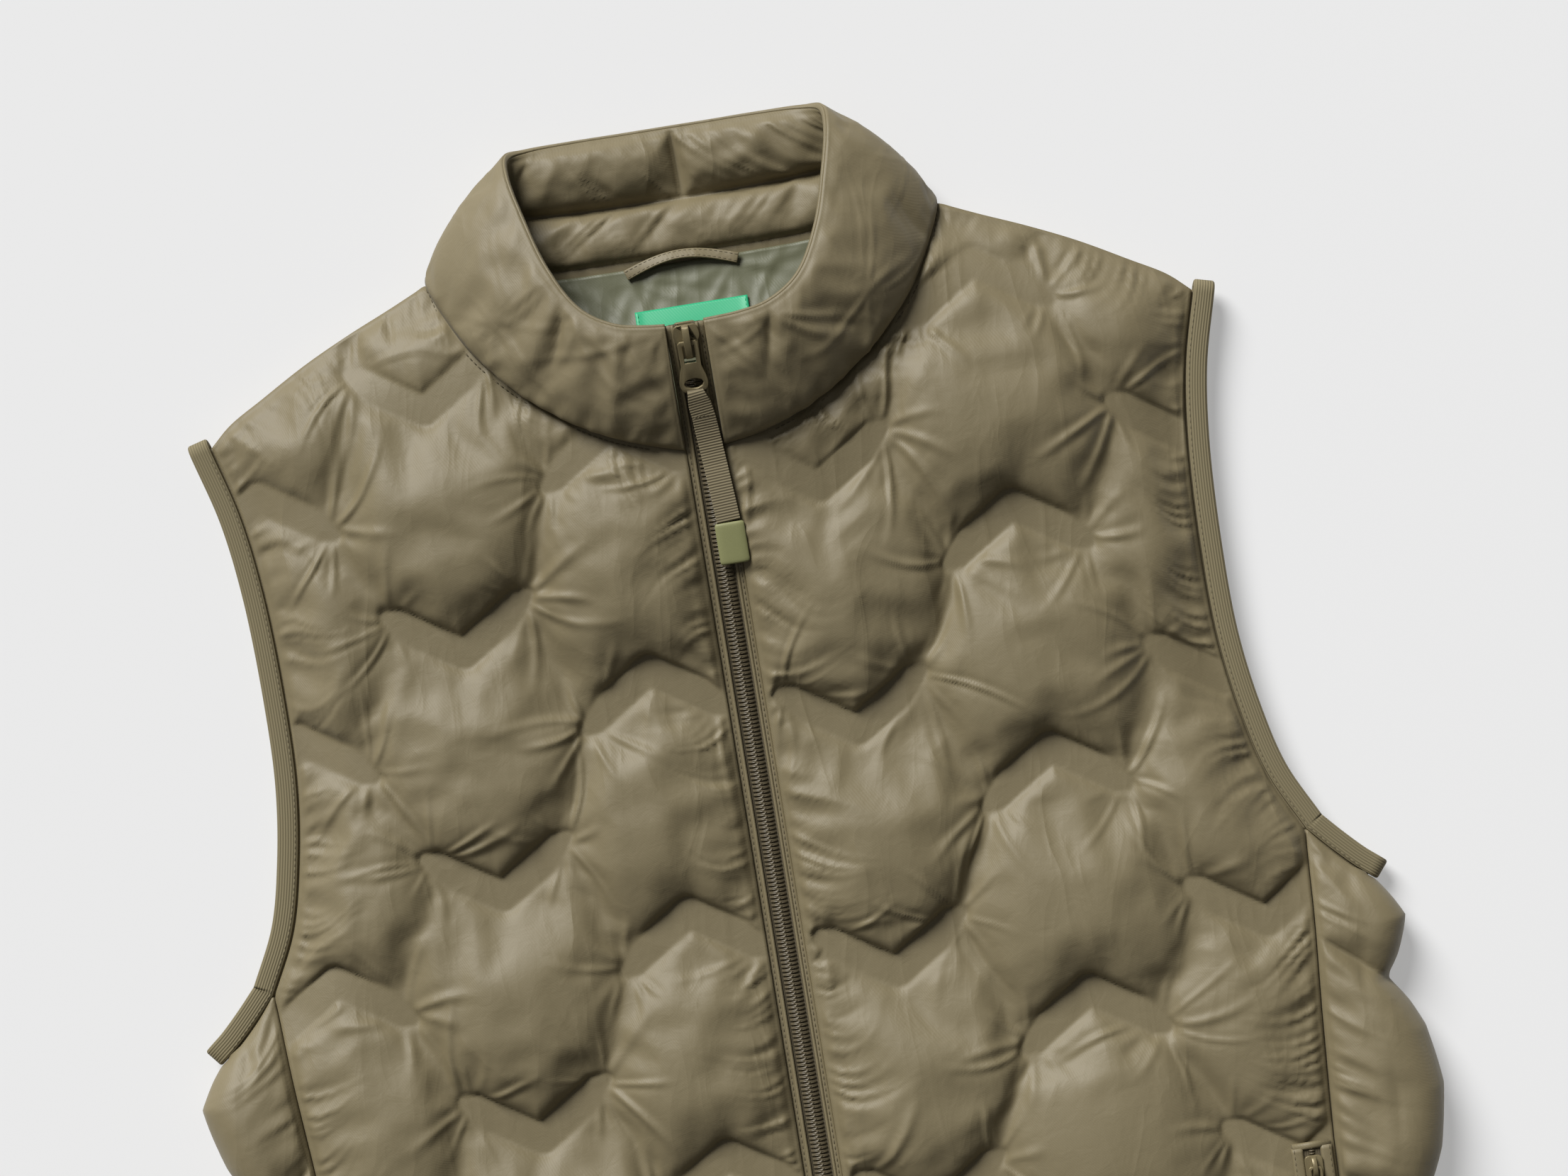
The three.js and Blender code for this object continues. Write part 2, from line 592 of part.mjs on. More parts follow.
/** The collar's middle surface: t runs from the right zip edge round the back to the left one, h up it. */
const collarMiddle = (() => {
  const middleOf = (row) => (row === COLLAR[0] ? ZIP_X : 0);
  const ring = (place) => {
    const right = COLLAR.map((row) => place(row, -1));
    const left = COLLAR.slice(0, -1).reverse().map((row) => place(row, 1));
    return new THREE.CatmullRomCurve3([...right, ...left], false, 'centripetal');
  };
  const base = ring((row, side) => (
    new THREE.Vector3(middleOf(row) + side * row.x, row.y, collarBase(row))));
  const top = ring((row, side) => (
    new THREE.Vector3(middleOf(row) + side * row.topX, row.topY, row.topZ)));
  const straightAt = (t, h) => base.getPoint(t).lerp(top.getPoint(t), h);
  const normalOf = (pointAt, t, h) => {
    const near = { t: 0.004, h: 0.05 };
    const across = pointAt(clamp(t + near.t, 0, 1), h).sub(pointAt(clamp(t - near.t, 0, 1), h));
    const up = pointAt(t, clamp(h + near.h, 0, 1)).sub(pointAt(t, clamp(h - near.h, 0, 1)));
    return up.cross(across).normalize();
  };
  const bulged = (t, h) => (
    straightAt(t, h).addScaledVector(normalOf(straightAt, t, h), 4 * h * (1 - h) * COLLAR_BULGE));
  return { at: bulged, normal: (t, h) => normalOf(bulged, t, h) };
})();

/** The padding share at t, from the collar's table. */
function collarPadding(t) {
  const place = (1 - Math.abs(2 * t - 1)) * (COLLAR.length - 1);
  const low = Math.min(Math.floor(place), COLLAR.length - 2);
  return lerp(COLLAR[low].padding, COLLAR[low + 1].padding, place - low);
}

/** Fullness of a padded channel across its height: 0 at its seams and 1 in its middle. */
const arch = (h) => Math.sin(Math.PI * clamp(h, 0, 1)) ** COLLAR_ARCH;

/** How deep the inside of the collar is padded: two channels divided by a sewn line. */
function channelDepth(t, h) {
  const within = h < COLLAR_CHANNEL ? h / COLLAR_CHANNEL : (h - COLLAR_CHANNEL) / (1 - COLLAR_CHANNEL);
  return SEAM_HALF + COLLAR_INNER_PAD * collarPadding(t) * arch(within);
}

/** A point off the collar's middle surface: positive distances are outside, and none is under the floor. */
function collarPoint(t, h, distance) {
  const p = collarMiddle.at(t, h).addScaledVector(collarMiddle.normal(t, h), distance);
  return p.setZ(Math.max(0, p.z));
}

/** Outer collar, from zip edge to zip edge round the back of the neck. */
function collarOuter() {
  return wall({
    ...COLLAR_GRID,
    outerAt: (t, h) => collarPoint(t, h, SEAM_HALF + COLLAR_OUTER_PAD * arch(h)),
    innerAt: (t, h) => collarPoint(t, h, SEAM_GAP / 2),
  });
}

/** Inner collar with its two padded channels. */
function collarInner() {
  return wall({
    ...COLLAR_GRID,
    outerAt: (t, h) => collarPoint(t, h, -channelDepth(t, h)),
    innerAt: (t, h) => collarPoint(t, h, -SEAM_GAP / 2),
  });
}

/** Elastic binding folded over one armhole's edge: along the front, over the shoulder and down the back. */
function armholeBinding(side) {
  const edge = chainOf(curveThrough([...UNDERARM].reverse()), curveThrough(ARMHOLE));
  const offset = BINDING.inset + BINDING.width / 2;
  const layers = { front: FRONT_EDGE + BINDING.lift, back: BACK_EDGE };
  const radius = (layers.front - layers.back) / 2;
  const frameAt = (t) => {
    const ahead = edge(Math.min(1, t + 0.01)).sub(edge(Math.max(0, t - 0.01))).normalize();
    const outward = new THREE.Vector3(ahead.y, -ahead.x, 0);
    return { centre: edge(t).addScaledVector(outward, offset), ahead, outward };
  };
  const ringAt = (t, turn) => {
    const { centre, ahead, outward } = frameAt(t);
    const reach = Math.sin(turn) * radius * (t > 0.5 ? 1 : -1);
    centre.addScaledVector(ahead, reach).setZ(layers.back + radius * (1 + Math.cos(turn)));
    const through = UP.clone().multiplyScalar(Math.cos(turn));
    through.addScaledVector(ahead, Math.sin(turn) * (t > 0.5 ? 1 : -1));
    return tapeRing(centre, outward, through, BINDING.width, BINDING.thickness)
      .map((p) => new THREE.Vector3(side * p.x, p.y, p.z));
  };
  const rings = [];
  const turns = [Math.PI / 4, Math.PI / 2, (3 * Math.PI) / 4];
  for (let i = 0; i <= BINDING.steps; i++) rings.push(ringAt(i / BINDING.steps, 0));
  turns.forEach((turn) => rings.push(ringAt(1, turn)));
  for (let i = BINDING.steps; i >= 0; i--) rings.push(ringAt(i / BINDING.steps, Math.PI));
  [...turns].reverse().forEach((turn) => rings.push(ringAt(0, turn)));
  return loft(rings, true);
}

/** Point on the zip's middle surface at garment height y, and the directions along and off it. */
function zipFrame(y) {
  const heightAt = (at) => (at <= 0
    ? frontLevel(ZIP_X, at)
    : lerp(frontLevel(ZIP_X, 0), COLLAR[0].topZ, at / COLLAR[0].topY));
  const smooth = (at) => [-9, -3, 3, 9].reduce((sum, d) => sum + heightAt(at + d) / 4, 0);
  const along = new THREE.Vector3(0, 2, smooth(y + 1) - smooth(y - 1)).normalize();
  const off = new THREE.Vector3(1, 0, 0).cross(along).normalize();
  return { point: new THREE.Vector3(ZIP_X, y, smooth(y)), along, off };
}

/** A strip that follows the zip between two heights, at a sideways place and a lift off the zip. */
function zipStrip({ fromY, toY, steps, across, lift, width, thickness, ring = boxRing }) {
  const rings = [];
  for (let i = 0; i <= steps; i++) {
    const share = i / steps;
    const y = lerp(fromY, toY, share);
    const { point, off } = zipFrame(y);
    point.addScaledVector(off, lift);
    point.x += typeof across === 'function' ? across(share) : across;
    rings.push(ring(point, new THREE.Vector3(1, 0, 0), off, width, thickness));
  }
  return loft(rings);
}

/** A shape with straight sides and rounded corners, about its own middle. */
function roundedShape(width, length, corner) {
  const [w, l] = [width / 2, length / 2];
  const shape = new THREE.Shape();
  shape.moveTo(-w + corner, -l).lineTo(w - corner, -l).quadraticCurveTo(w, -l, w, -l + corner);
  shape.lineTo(w, l - corner).quadraticCurveTo(w, l, w - corner, l).lineTo(-w + corner, l);
  shape.quadraticCurveTo(-w, l, -w, l - corner).lineTo(-w, -l + corner);
  shape.quadraticCurveTo(-w, -l, -w + corner, -l);
  return shape;
}

/** A flat plate cut to a shape, between two heights. */
function plate(shape, from, to, curveSegments = 6) {
  const geometry = new THREE.ExtrudeGeometry(shape, { depth: to - from, bevelEnabled: false, curveSegments });
  return geometry.translate(0, 0, from);
}

/** A closed geometry as a solid that can be joined and cut. */
function solidOf(geometry) {
  const bare = geometry.clone();
  bare.deleteAttribute('normal');
  bare.deleteAttribute('uv');
  const merged = mergeVertices(bare, 1e-4);
  return new wasm.Manifold(new wasm.Mesh({
    numProp: 3,
    vertProperties: Float32Array.from(merged.attributes.position.array),
    triVerts: Uint32Array.from(merged.index.array),
  }));
}

/** A joined or cut solid back as a geometry. */
function geometryOf(solid) {
  const mesh = solid.getMesh();
  const geometry = new THREE.BufferGeometry();
  geometry.setAttribute('position', new THREE.BufferAttribute(Float32Array.from(mesh.vertProperties), 3));
  geometry.setIndex(new THREE.BufferAttribute(Uint32Array.from(mesh.triVerts), 1));
  return geometry;
}

/** The slider: two plates joined by a post between the tapes, and a crown that the pull hangs on. */
function sliderGeometry() {
  const { width, length, halfGap, crownHeight } = SLIDER;
  const half = length / 2;
  const body = new THREE.Shape();
  body.moveTo(-width * 0.4, -half).lineTo(width * 0.4, -half);
  body.lineTo(width * 0.42, 0).lineTo(width / 2, half * 0.35);
  body.quadraticCurveTo(width / 2, half * 0.95, width * 0.3, half).lineTo(-width * 0.3, half);
  body.quadraticCurveTo(-width / 2, half * 0.95, -width / 2, half * 0.35).lineTo(-width * 0.42, 0);
  const top = halfGap + SLIDER.plate;
  const upper = plate(body, halfGap, top);
  const lower = plate(body, -top, -halfGap);
  const post = plate(roundedShape(SLIDER.post, half, 0.8), -halfGap - JOIN, halfGap + JOIN, 3);
  const bar = PULL.lift - top;
  const crown = new THREE.Shape();
  crown.moveTo(-half * 0.95, -JOIN).lineTo(half * 0.98, -JOIN).lineTo(half * 0.98, bar + 0.6);
  crown.quadraticCurveTo(half * 0.7, bar + crownHeight, 0, bar + crownHeight);
  crown.quadraticCurveTo(-half * 0.7, bar + crownHeight, -half * 0.95, bar);
  crown.holes.push(new THREE.Path().absellipse(0, bar, PIN_HOLE.along, PIN_HOLE.up, 0, 2 * Math.PI, false));
  const arched = plate(crown, -SLIDER.crown / 2, SLIDER.crown / 2, 5);
  // The crown is drawn with its length along x and its height along y: stand it along the zip.
  arched.applyMatrix4(new THREE.Matrix4().set(0, 0, 1, 0, 1, 0, 0, 0, 0, 1, 0, top, 0, 0, 0, 1));
  const joined = [upper, lower, post, arched].map(solidOf).reduce((sum, next) => sum.add(next));
  return geometryOf(joined);
}

/** The pull tab: rails round a window that the crown stands in, and a flared end with an oval hole. */
function pullGeometry() {
  const { width, flare, length, window, rail, thickness, lift, bar } = PULL;
  const [half, wide] = [width / 2, flare / 2];
  const outline = new THREE.Shape();
  outline.moveTo(-half + 1, bar).lineTo(half - 1, bar).lineTo(half, 0).lineTo(half, -window - 2);
  outline.quadraticCurveTo(wide - 0.4, -length * 0.68, wide, -length * 0.8);
  outline.quadraticCurveTo(wide, -length + 0.6, wide - 2.2, -length).lineTo(-wide + 2.2, -length);
  outline.quadraticCurveTo(-wide, -length + 0.6, -wide, -length * 0.8);
  outline.quadraticCurveTo(-wide + 0.4, -length * 0.68, -half, -window - 2).lineTo(-half, 0);
  const inside = half - rail;
  const opening = new THREE.Path();
  opening.moveTo(-inside, -bar).lineTo(-inside, -window).lineTo(inside, -window).lineTo(inside, -bar);
  const eye = new THREE.Path();
  eye.absellipse(0, -length + EYE.fromEnd, EYE.across, EYE.along, 0, 2 * Math.PI, false);
  outline.holes.push(opening, eye);
  return plate(outline, lift - thickness / 2, lift + thickness / 2, 5);
}

/** A group in the zip's own frame at height y: X across, Y up the zip and Z off it. */
function groupOnZip(y, aside = 0) {
  const { point, along, off } = zipFrame(y);
  const group = new THREE.Group();
  group.position.copy(point).setX(point.x + aside);
  group.setRotationFromMatrix(new THREE.Matrix4().makeBasis(new THREE.Vector3(1, 0, 0), along, off));
  garment.add(group);
  return group;
}

/** The front zip: two tapes, the chain between them, the slider with its pull, ribbon and moulded tip. */
function addFrontZip() {
  for (const side of sides) {
    addPiece(`zip_tape_${sideName(side)}`, zipStrip({
      fromY: HEM_Y + 1,
      toY: COLLAR[0].topY,
      steps: ZIP_STEPS,
      across: (side * (TAPE.inner + TAPE.outer)) / 2,
      lift: 0,
      width: TAPE.outer - TAPE.inner,
      thickness: TAPE.thickness,
    }), ZIP_TAPE);
  }
  addPiece('zip_chain', zipStrip({
    fromY: CHAIN.bottomY,
    toY: CHAIN.topY,
    steps: ZIP_STEPS,
    across: 0,
    lift: 0,
    width: CHAIN.width,
    thickness: CHAIN.thickness,
  }), ZIP_CHAIN);
  const boxMiddle = CHAIN.bottomY - SEAM_GAP - ZIP_BOX.length / 2;
  addPiece('zip_box', zipStrip({
    fromY: boxMiddle - ZIP_BOX.length / 2,
    toY: boxMiddle + ZIP_BOX.length / 2,
    steps: 2,
    across: 0,
    lift: 0,
    width: 2 * (TAPE.inner - SEAM_GAP),
    thickness: ZIP_BOX.thickness,
    ring: tapeRing,
  }), ZIP_CHAIN);
  const onZip = groupOnZip(SLIDER.y);
  addPiece('slider', sliderGeometry(), ZIP_METAL, onZip);
  addPiece('pull_tab', pullGeometry(), ZIP_METAL, onZip);
  addPiece('pull_ribbon', zipStrip({
    fromY: RIBBON.bottomY,
    toY: RIBBON.topY,
    steps: 10,
    across: (share) => RIBBON.drift * (1 - share) + RIBBON.shift,
    lift: RIBBON.lift,
    width: RIBBON.width,
    thickness: RIBBON.thickness,
  }), WEBBING);
  const tipY = RIBBON.bottomY - SEAM_GAP - TIP.length / 2;
  const onTip = groupOnZip(tipY, RIBBON.drift + RIBBON.shift);
  const tipBase = RIBBON.lift - TIP.thickness / 2;
  const tip = plate(roundedShape(TIP.width, TIP.length, TIP.corner), tipBase, tipBase + TIP.thickness);
  addPiece('pull_tip', tip, RUBBER, onTip);
}

/** One pocket's closed zip in its opening beside the side seam, with its slider and wire pull. */
function addPocket(side) {
  const name = sideName(side);
  const lift = SEAM_HALF + SEAM_GAP + POCKET.thickness / 2;
  const pointAt = (y) => {
    const x = pocketX(y, side);
    return new THREE.Vector3(x, y, frontLevel(x, y) + lift);
  };
  const rings = [];
  for (let i = 0; i <= POCKET.steps; i++) {
    const centre = pointAt(lerp(POCKET.bottomY, POCKET.topY, i / POCKET.steps));
    rings.push(boxRing(centre, new THREE.Vector3(1, 0, 0), UP, POCKET.width, POCKET.thickness));
  }
  addPiece(`pocket_zip_${name}`, loft(rings), ZIP_TAPE);
  const sliderY = POCKET.topY - POCKET_SLIDER.fromTop - POCKET_SLIDER.length / 2;
  const ahead = pointAt(sliderY + 8).sub(pointAt(sliderY - 8)).normalize();
  const across = ahead.clone().cross(UP).normalize();
  const group = new THREE.Group();
  const off = across.clone().cross(ahead).normalize();
  group.position.copy(pointAt(sliderY)).addScaledVector(off, POCKET.thickness / 2 + SEAM_GAP);
  group.setRotationFromMatrix(new THREE.Matrix4().makeBasis(across, ahead, off));
  garment.add(group);
  const { thickness: base, corner, bridge: bridgeWidth } = POCKET_SLIDER;
  const body = plate(roundedShape(POCKET_SLIDER.width, POCKET_SLIDER.length, corner), 0, base);
  const half = POCKET_SLIDER.length * 0.42;
  const { up, halfLength, halfHeight } = POCKET_HOLE;
  const bridge = new THREE.Shape();
  bridge.moveTo(-half, base - JOIN).lineTo(half, base - JOIN).lineTo(half, base + up);
  bridge.quadraticCurveTo(half * 0.6, base + up + 2, 0, base + up + 2);
  bridge.quadraticCurveTo(-half * 0.6, base + up + 2, -half, base + up);
  bridge.holes.push(new THREE.Path().absellipse(0, base + up, halfLength, halfHeight, 0, 2 * Math.PI, false));
  const arched = plate(bridge, -bridgeWidth / 2, bridgeWidth / 2, 5);
  arched.applyMatrix4(new THREE.Matrix4().set(0, 0, 1, 0, 1, 0, 0, 0, 0, 1, 0, 0, 0, 0, 0, 1));
  addPiece(`pocket_slider_${name}`, geometryOf(solidOf(body).add(solidOf(arched))), ZIP_METAL, group);
  const { width, length, thickness, rail } = POCKET_PULL;
  // The wire's outlines hang down from its top bar, which runs through the bridge.
  const hung = (shape) => shape.getPoints(4).map((p) => new THREE.Vector2(p.x, p.y - length / 2 + rail / 2));
  const wire = new THREE.Shape(hung(roundedShape(width, length, POCKET_PULL.corner)));
  const hollow = roundedShape(width - 2 * rail, length - 2 * rail, POCKET_PULL.innerCorner);
  wire.holes.push(new THREE.Path(hung(hollow).reverse()));
  const pull = plate(wire, base + up - thickness / 2, base + up + thickness / 2, 4);
  addPiece(`pocket_pull_${name}`, pull, ZIP_METAL, group);
}

/** Height of what lies under the hanger loop: the lining up to the neck seam, then the inner collar. */
function underLoop(x, y) {
  if (y < LOOP.seamY) return backTop(x, y) + LINING_THICKNESS + 3 * SEAM_GAP;
  const t = 0.5 + x / (COLLAR[COLLAR.length - 2].x * 2 * (COLLAR.length - 1));
  const h = (y - LOOP.seamY) / (COLLAR_TOP_Y - LOOP.seamY);
  return collarPoint(t, h, -channelDepth(t, h)).z;
}

/** Hanger loop: a folded strip bowed over the inside of the back collar from the neck seam. */
function hangerLoop() {
  const rings = [];
  for (let i = 0; i <= LOOP.steps; i++) {
    const share = i / LOOP.steps;
    const bow = Math.sin(Math.PI * share);
    const x = lerp(-LOOP.half, LOOP.half, share) + LOOP.x;
    const y = LOOP.y + LOOP.bow * bow;
    const beneath = [-LOOP.width / 2, 0, LOOP.width / 2].map((reach) => underLoop(x, y + reach));
    const rest = Math.max(...beneath) + SEAM_GAP + LOOP.thickness / 2 + LOOP.rise * bow;
    const tangent = new THREE.Vector3(2 * LOOP.half, Math.PI * LOOP.bow * Math.cos(Math.PI * share), 0);
    const across = new THREE.Vector3(-tangent.y, tangent.x, 0).normalize();
    rings.push(boxRing(new THREE.Vector3(x, y, rest), across, UP, LOOP.width, LOOP.thickness));
  }
  return loft(rings);
}

addPiece('back', backPanel(), SHELL);
for (const side of sides) {
  addPiece(`front_${sideName(side)}`, frontPanel(side), SHELL);
  addPiece(`side_${sideName(side)}`, sidePanel(side), SHELL);
  addPiece(`armhole_binding_${sideName(side)}`, armholeBinding(side), BINDING_CLOTH);
  addPocket(side);
}
addPiece('collar_outer', collarOuter(), SHELL);
addPiece('collar_inner', collarInner(), SHELL);
addFrontZip();

// The lining shows only inside the neck, where it covers the back's own grid from the seam down.
const liningFrom = Math.ceil(neckShare() * BACK_GRID.columns + 0.5) / BACK_GRID.columns;
addPiece('back_lining', layerOnBack({
  fromU: liningFrom,
  toU: 1 - liningFrom,
  fromV: 1 - LINING_ROWS / BACK_GRID.rows,
  toV: 1,
  columns: Math.round((1 - 2 * liningFrom) * BACK_GRID.columns),
  rows: LINING_ROWS,
  lift: SEAM_GAP,
  thickness: LINING_THICKNESS,
}), LINING);
addPiece('label', layerOnBack({
  fromU: 0.5 - LABEL.halfShare,
  toU: 0.5 + LABEL.halfShare,
  fromV: 1 - LABEL.fromRow / BACK_GRID.rows,
  toV: 1 - LABEL.toRow / BACK_GRID.rows,
  columns: 4,
  rows: 1,
  lift: LINING_THICKNESS + 2 * SEAM_GAP,
  thickness: LABEL.thickness,
}), LABEL_CLOTH);
addPiece('hanger_loop', hangerLoop(), SHELL);

// Put the origin at the middle of the footprint, on the floor.
const extent = new THREE.Box3().setFromObject(garment);
const middle = extent.getCenter(new THREE.Vector3());
garment.position.set(-middle.x, -middle.y, -extent.min.z);

export default garment;
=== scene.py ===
"""Looks of a padded, sleeveless, zip-front vest that lies flat on its back.

Shapes are worked out in millimetres in the garment's own frame, whose origin is the centre of
the front neck seam, with +Y towards the collar, +X towards the wearer's left side and +Z up from
the floor. put_mesh moves them into the row's frame, in metres.
"""
from __future__ import annotations

import json
import logging
import math
from dataclasses import dataclass, field
from enum import Enum
from typing import Callable, Sequence

import bmesh
import bpy
import numpy as np
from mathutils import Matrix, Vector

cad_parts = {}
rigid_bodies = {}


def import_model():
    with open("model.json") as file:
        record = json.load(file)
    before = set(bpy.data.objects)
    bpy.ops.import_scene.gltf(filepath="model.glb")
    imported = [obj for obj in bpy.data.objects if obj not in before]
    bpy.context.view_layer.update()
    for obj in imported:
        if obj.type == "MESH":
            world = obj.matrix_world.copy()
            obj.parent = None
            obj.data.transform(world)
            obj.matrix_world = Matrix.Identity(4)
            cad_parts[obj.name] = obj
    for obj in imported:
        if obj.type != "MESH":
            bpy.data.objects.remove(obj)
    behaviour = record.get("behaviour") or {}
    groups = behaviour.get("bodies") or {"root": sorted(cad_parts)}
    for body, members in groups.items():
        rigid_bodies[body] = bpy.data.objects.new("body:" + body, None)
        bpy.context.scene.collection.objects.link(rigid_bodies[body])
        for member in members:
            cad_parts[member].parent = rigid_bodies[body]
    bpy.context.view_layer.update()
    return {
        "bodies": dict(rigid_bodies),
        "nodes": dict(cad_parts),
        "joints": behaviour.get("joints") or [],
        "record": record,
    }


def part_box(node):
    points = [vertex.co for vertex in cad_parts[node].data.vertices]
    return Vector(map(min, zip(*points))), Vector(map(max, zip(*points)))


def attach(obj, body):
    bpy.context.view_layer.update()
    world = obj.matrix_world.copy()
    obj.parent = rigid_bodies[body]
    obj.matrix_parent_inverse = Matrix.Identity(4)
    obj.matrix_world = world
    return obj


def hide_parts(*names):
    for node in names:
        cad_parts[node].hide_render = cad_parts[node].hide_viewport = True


LOG = logging.getLogger("vest")
MM = 0.001
SEED = 7
# A wave texture's period at scale 1: straight bands repeat every 2 pi / 20, diagonal ones every 2 pi / 10.
STRAIGHT_BANDS = 0.314
DIAGONAL_BANDS = 0.628


class Side(Enum):
    """The wearer's sides, as the sign of their X."""

    LEFT = 1
    RIGHT = -1

    @property
    def word(self) -> str:
        """The side's word in piece and node names."""
        return self.name.lower()


# Small tools: colours, nodes, grids and meshes.


def linear(code: str) -> tuple[float, float, float, float]:
    """Turns an sRGB hex colour into a linear RGBA colour.

    Args:
        code: six hex digits after a hash sign.

    Returns:
        Linear red, green, blue and an alpha of 1.
    """
    parts = np.array([int(code[i : i + 2], 16) for i in (1, 3, 5)]) / 255
    curved = np.where(parts <= 0.04045, parts / 12.92, ((parts + 0.055) / 1.055) ** 2.4)
    return (*curved.tolist(), 1.0)


def add_node(tree, kind: str, settings: dict | None = None, inputs: dict | None = None):
    """Adds one shader node with its settings, values and links.

    Args:
        tree: the node tree.
        kind: the node's type name without its ShaderNode prefix.
        settings: node properties by name.
        inputs: socket values by name or number; a socket as the value makes a link.

    Returns:
        The new node.
    """
    node = tree.nodes.new("ShaderNode" + kind)
    for name, value in (settings or {}).items():
        setattr(node, name, value)
    for name, value in (inputs or {}).items():
        if isinstance(value, bpy.types.NodeSocket):
            tree.links.new(value, node.inputs[name])
        else:
            node.inputs[name].default_value = value
    return node


def arc_points(points: np.ndarray, count: int) -> np.ndarray:
    """Spreads points evenly along a polyline.

    Args:
        points: the polyline, one row a point.
        count: how many points to return.

    Returns:
        The evenly spread points.
    """
    steps = np.linalg.norm(np.diff(points, axis=0), axis=1)
    along = np.concatenate([[0], np.cumsum(steps)])
    at = np.linspace(0, along[-1], count)
    return np.stack([np.interp(at, along, column) for column in points.T], axis=1)


def curve_through(rows: Sequence[Sequence[float]], count: int = 400) -> np.ndarray:
    """A smooth curve through a few points: a centripetal Catmull-Rom curve, evenly spread.

    Each span is the cubic with the points' centripetal tangents, and the ends are carried on straight.

    Args:
        rows: the points, one row each.
        count: how many points to return.

    Returns:
        The evenly spread points.
    """
    knots = np.asarray(rows, float)
    knots = np.vstack([2 * knots[0] - knots[1], knots, 2 * knots[-1] - knots[-2]])
    gaps = np.linalg.norm(np.diff(knots, axis=0), axis=1) ** 0.5
    t = np.linspace(0, 1, 40)[:, None]
    spans = []
    for i in range(1, len(knots) - 2):
        a, b, c, d = knots[i - 1 : i + 3]
        before, here, after = gaps[i - 1 : i + 2]
        start = ((b - a) / before - (c - a) / (before + here) + (c - b) / here) * here
        end = ((c - b) / here - (d - b) / (here + after) + (d - c) / after) * here
        square, cube = -3 * b + 3 * c - 2 * start - end, 2 * b - 2 * c + start + end
        spans.append(b + start * t + square * t**2 + cube * t**3)
    return arc_points(np.vstack(spans), count)


def distance_to(places: np.ndarray, chain: np.ndarray) -> np.ndarray:
    """Distance in plan from many places to a polyline.

    Args:
        places: an array whose last axis starts with x and y.
        chain: the polyline.

    Returns:
        The distances, one for each place.
    """
    flat = places[..., :2].reshape(-1, 1, 2)
    start, step = chain[None, :-1, :2], np.diff(chain[:, :2], axis=0)[None]
    share = ((flat - start) * step).sum(-1) / np.maximum((step**2).sum(-1), 1e-9)
    gap = flat - start - np.clip(share, 0, 1)[..., None] * step
    return np.sqrt((gap**2).sum(-1)).min(1).reshape(places.shape[:-1])


def place_along(places: np.ndarray, chain: np.ndarray) -> np.ndarray:
    """How far along a polyline each place's nearest vertex of it is.

    Args:
        places: an array whose last axis starts with x and y.
        chain: the polyline.

    Returns:
        The lengths, one for each place.
    """
    length = np.concatenate([[0], np.cumsum(np.linalg.norm(np.diff(chain[:, :2], axis=0), axis=1))])
    fine, at = arc_points(chain[:, :2], 6 * len(chain)), np.linspace(0, length[-1], 6 * len(chain))
    flat = places[..., :2].reshape(-1, 2)
    squares = (fine**2).sum(1)[None] - 2 * flat @ fine.T
    return at[squares.argmin(1)].reshape(places.shape[:-1])


def puckers(along: np.ndarray, edge: np.ndarray, pitch: float, length: float, seed: int) -> np.ndarray:
    """Small gathers that run in from a seam: ridged noise along it, fading with the distance from it.

    The ridges are one less twice the size of a smooth noise, and each fades over its own length.

    Args:
        along: each point's place along the seam, in millimetres.
        edge: its distance from the seam.
        pitch: usual distance between two gathers.
        length: how far in they reach.
        seed: the random seed.

    Returns:
        Values of about -1 to 1.
    """
    rng = np.random.default_rng(seed)
    count = int(along.max() / pitch) + 4
    knots, reach = rng.uniform(-1, 1, count * 2), rng.uniform(0.3, 1.5, count)
    fine = spread(knots, 8 * len(knots))
    wander = along + 0.25 * edge * spread(rng.uniform(-1, 1, count), 400)[(along / pitch / count * 399).astype(int)]
    noise = np.interp(wander / pitch * 2, np.linspace(0, len(knots) - 1, len(fine)), fine)
    fade = np.interp(along / pitch, np.arange(count), reach) * length
    return (1 - 2 * np.abs(noise)) * np.exp(-((edge / fade) ** 1.3)) * (1 - np.exp(-edge / 1.2))


def soft_least(*distances: np.ndarray, blend: float = 7.0) -> np.ndarray:
    """The least of some distances, rounded where two are alike: minus the log of their summed exponentials."""
    return np.maximum(0, -blend * np.log(sum(np.exp(-distance / blend) for distance in distances)))


def smooth_step(values: np.ndarray, low: float, high: float) -> np.ndarray:
    """Rises smoothly from 0 at low to 1 at high."""
    t = np.clip((values - low) / (high - low), 0, 1)
    return t * t * (3 - 2 * t)


def coons(bottom: np.ndarray, top: np.ndarray, inner: np.ndarray, outer: np.ndarray) -> np.ndarray:
    """A patch between four edges: the two rulings added, less the bilinear corner patch.

    Args:
        bottom: the edge at v = 0, by u.
        top: the edge at v = 1, by u.
        inner: the edge at u = 0, by v.
        outer: the edge at u = 1, by v.

    Returns:
        The grid, by v, then u, then coordinate.
    """
    u = np.linspace(0, 1, len(bottom))[None, :, None]
    v = np.linspace(0, 1, len(inner))[:, None, None]
    ruled = (1 - v) * bottom[None] + v * top[None] + (1 - u) * inner[:, None] + u * outer[:, None]
    low = (1 - u) * bottom[0] + u * bottom[-1]
    high = (1 - u) * top[0] + u * top[-1]
    return ruled - (1 - v) * low - v * high


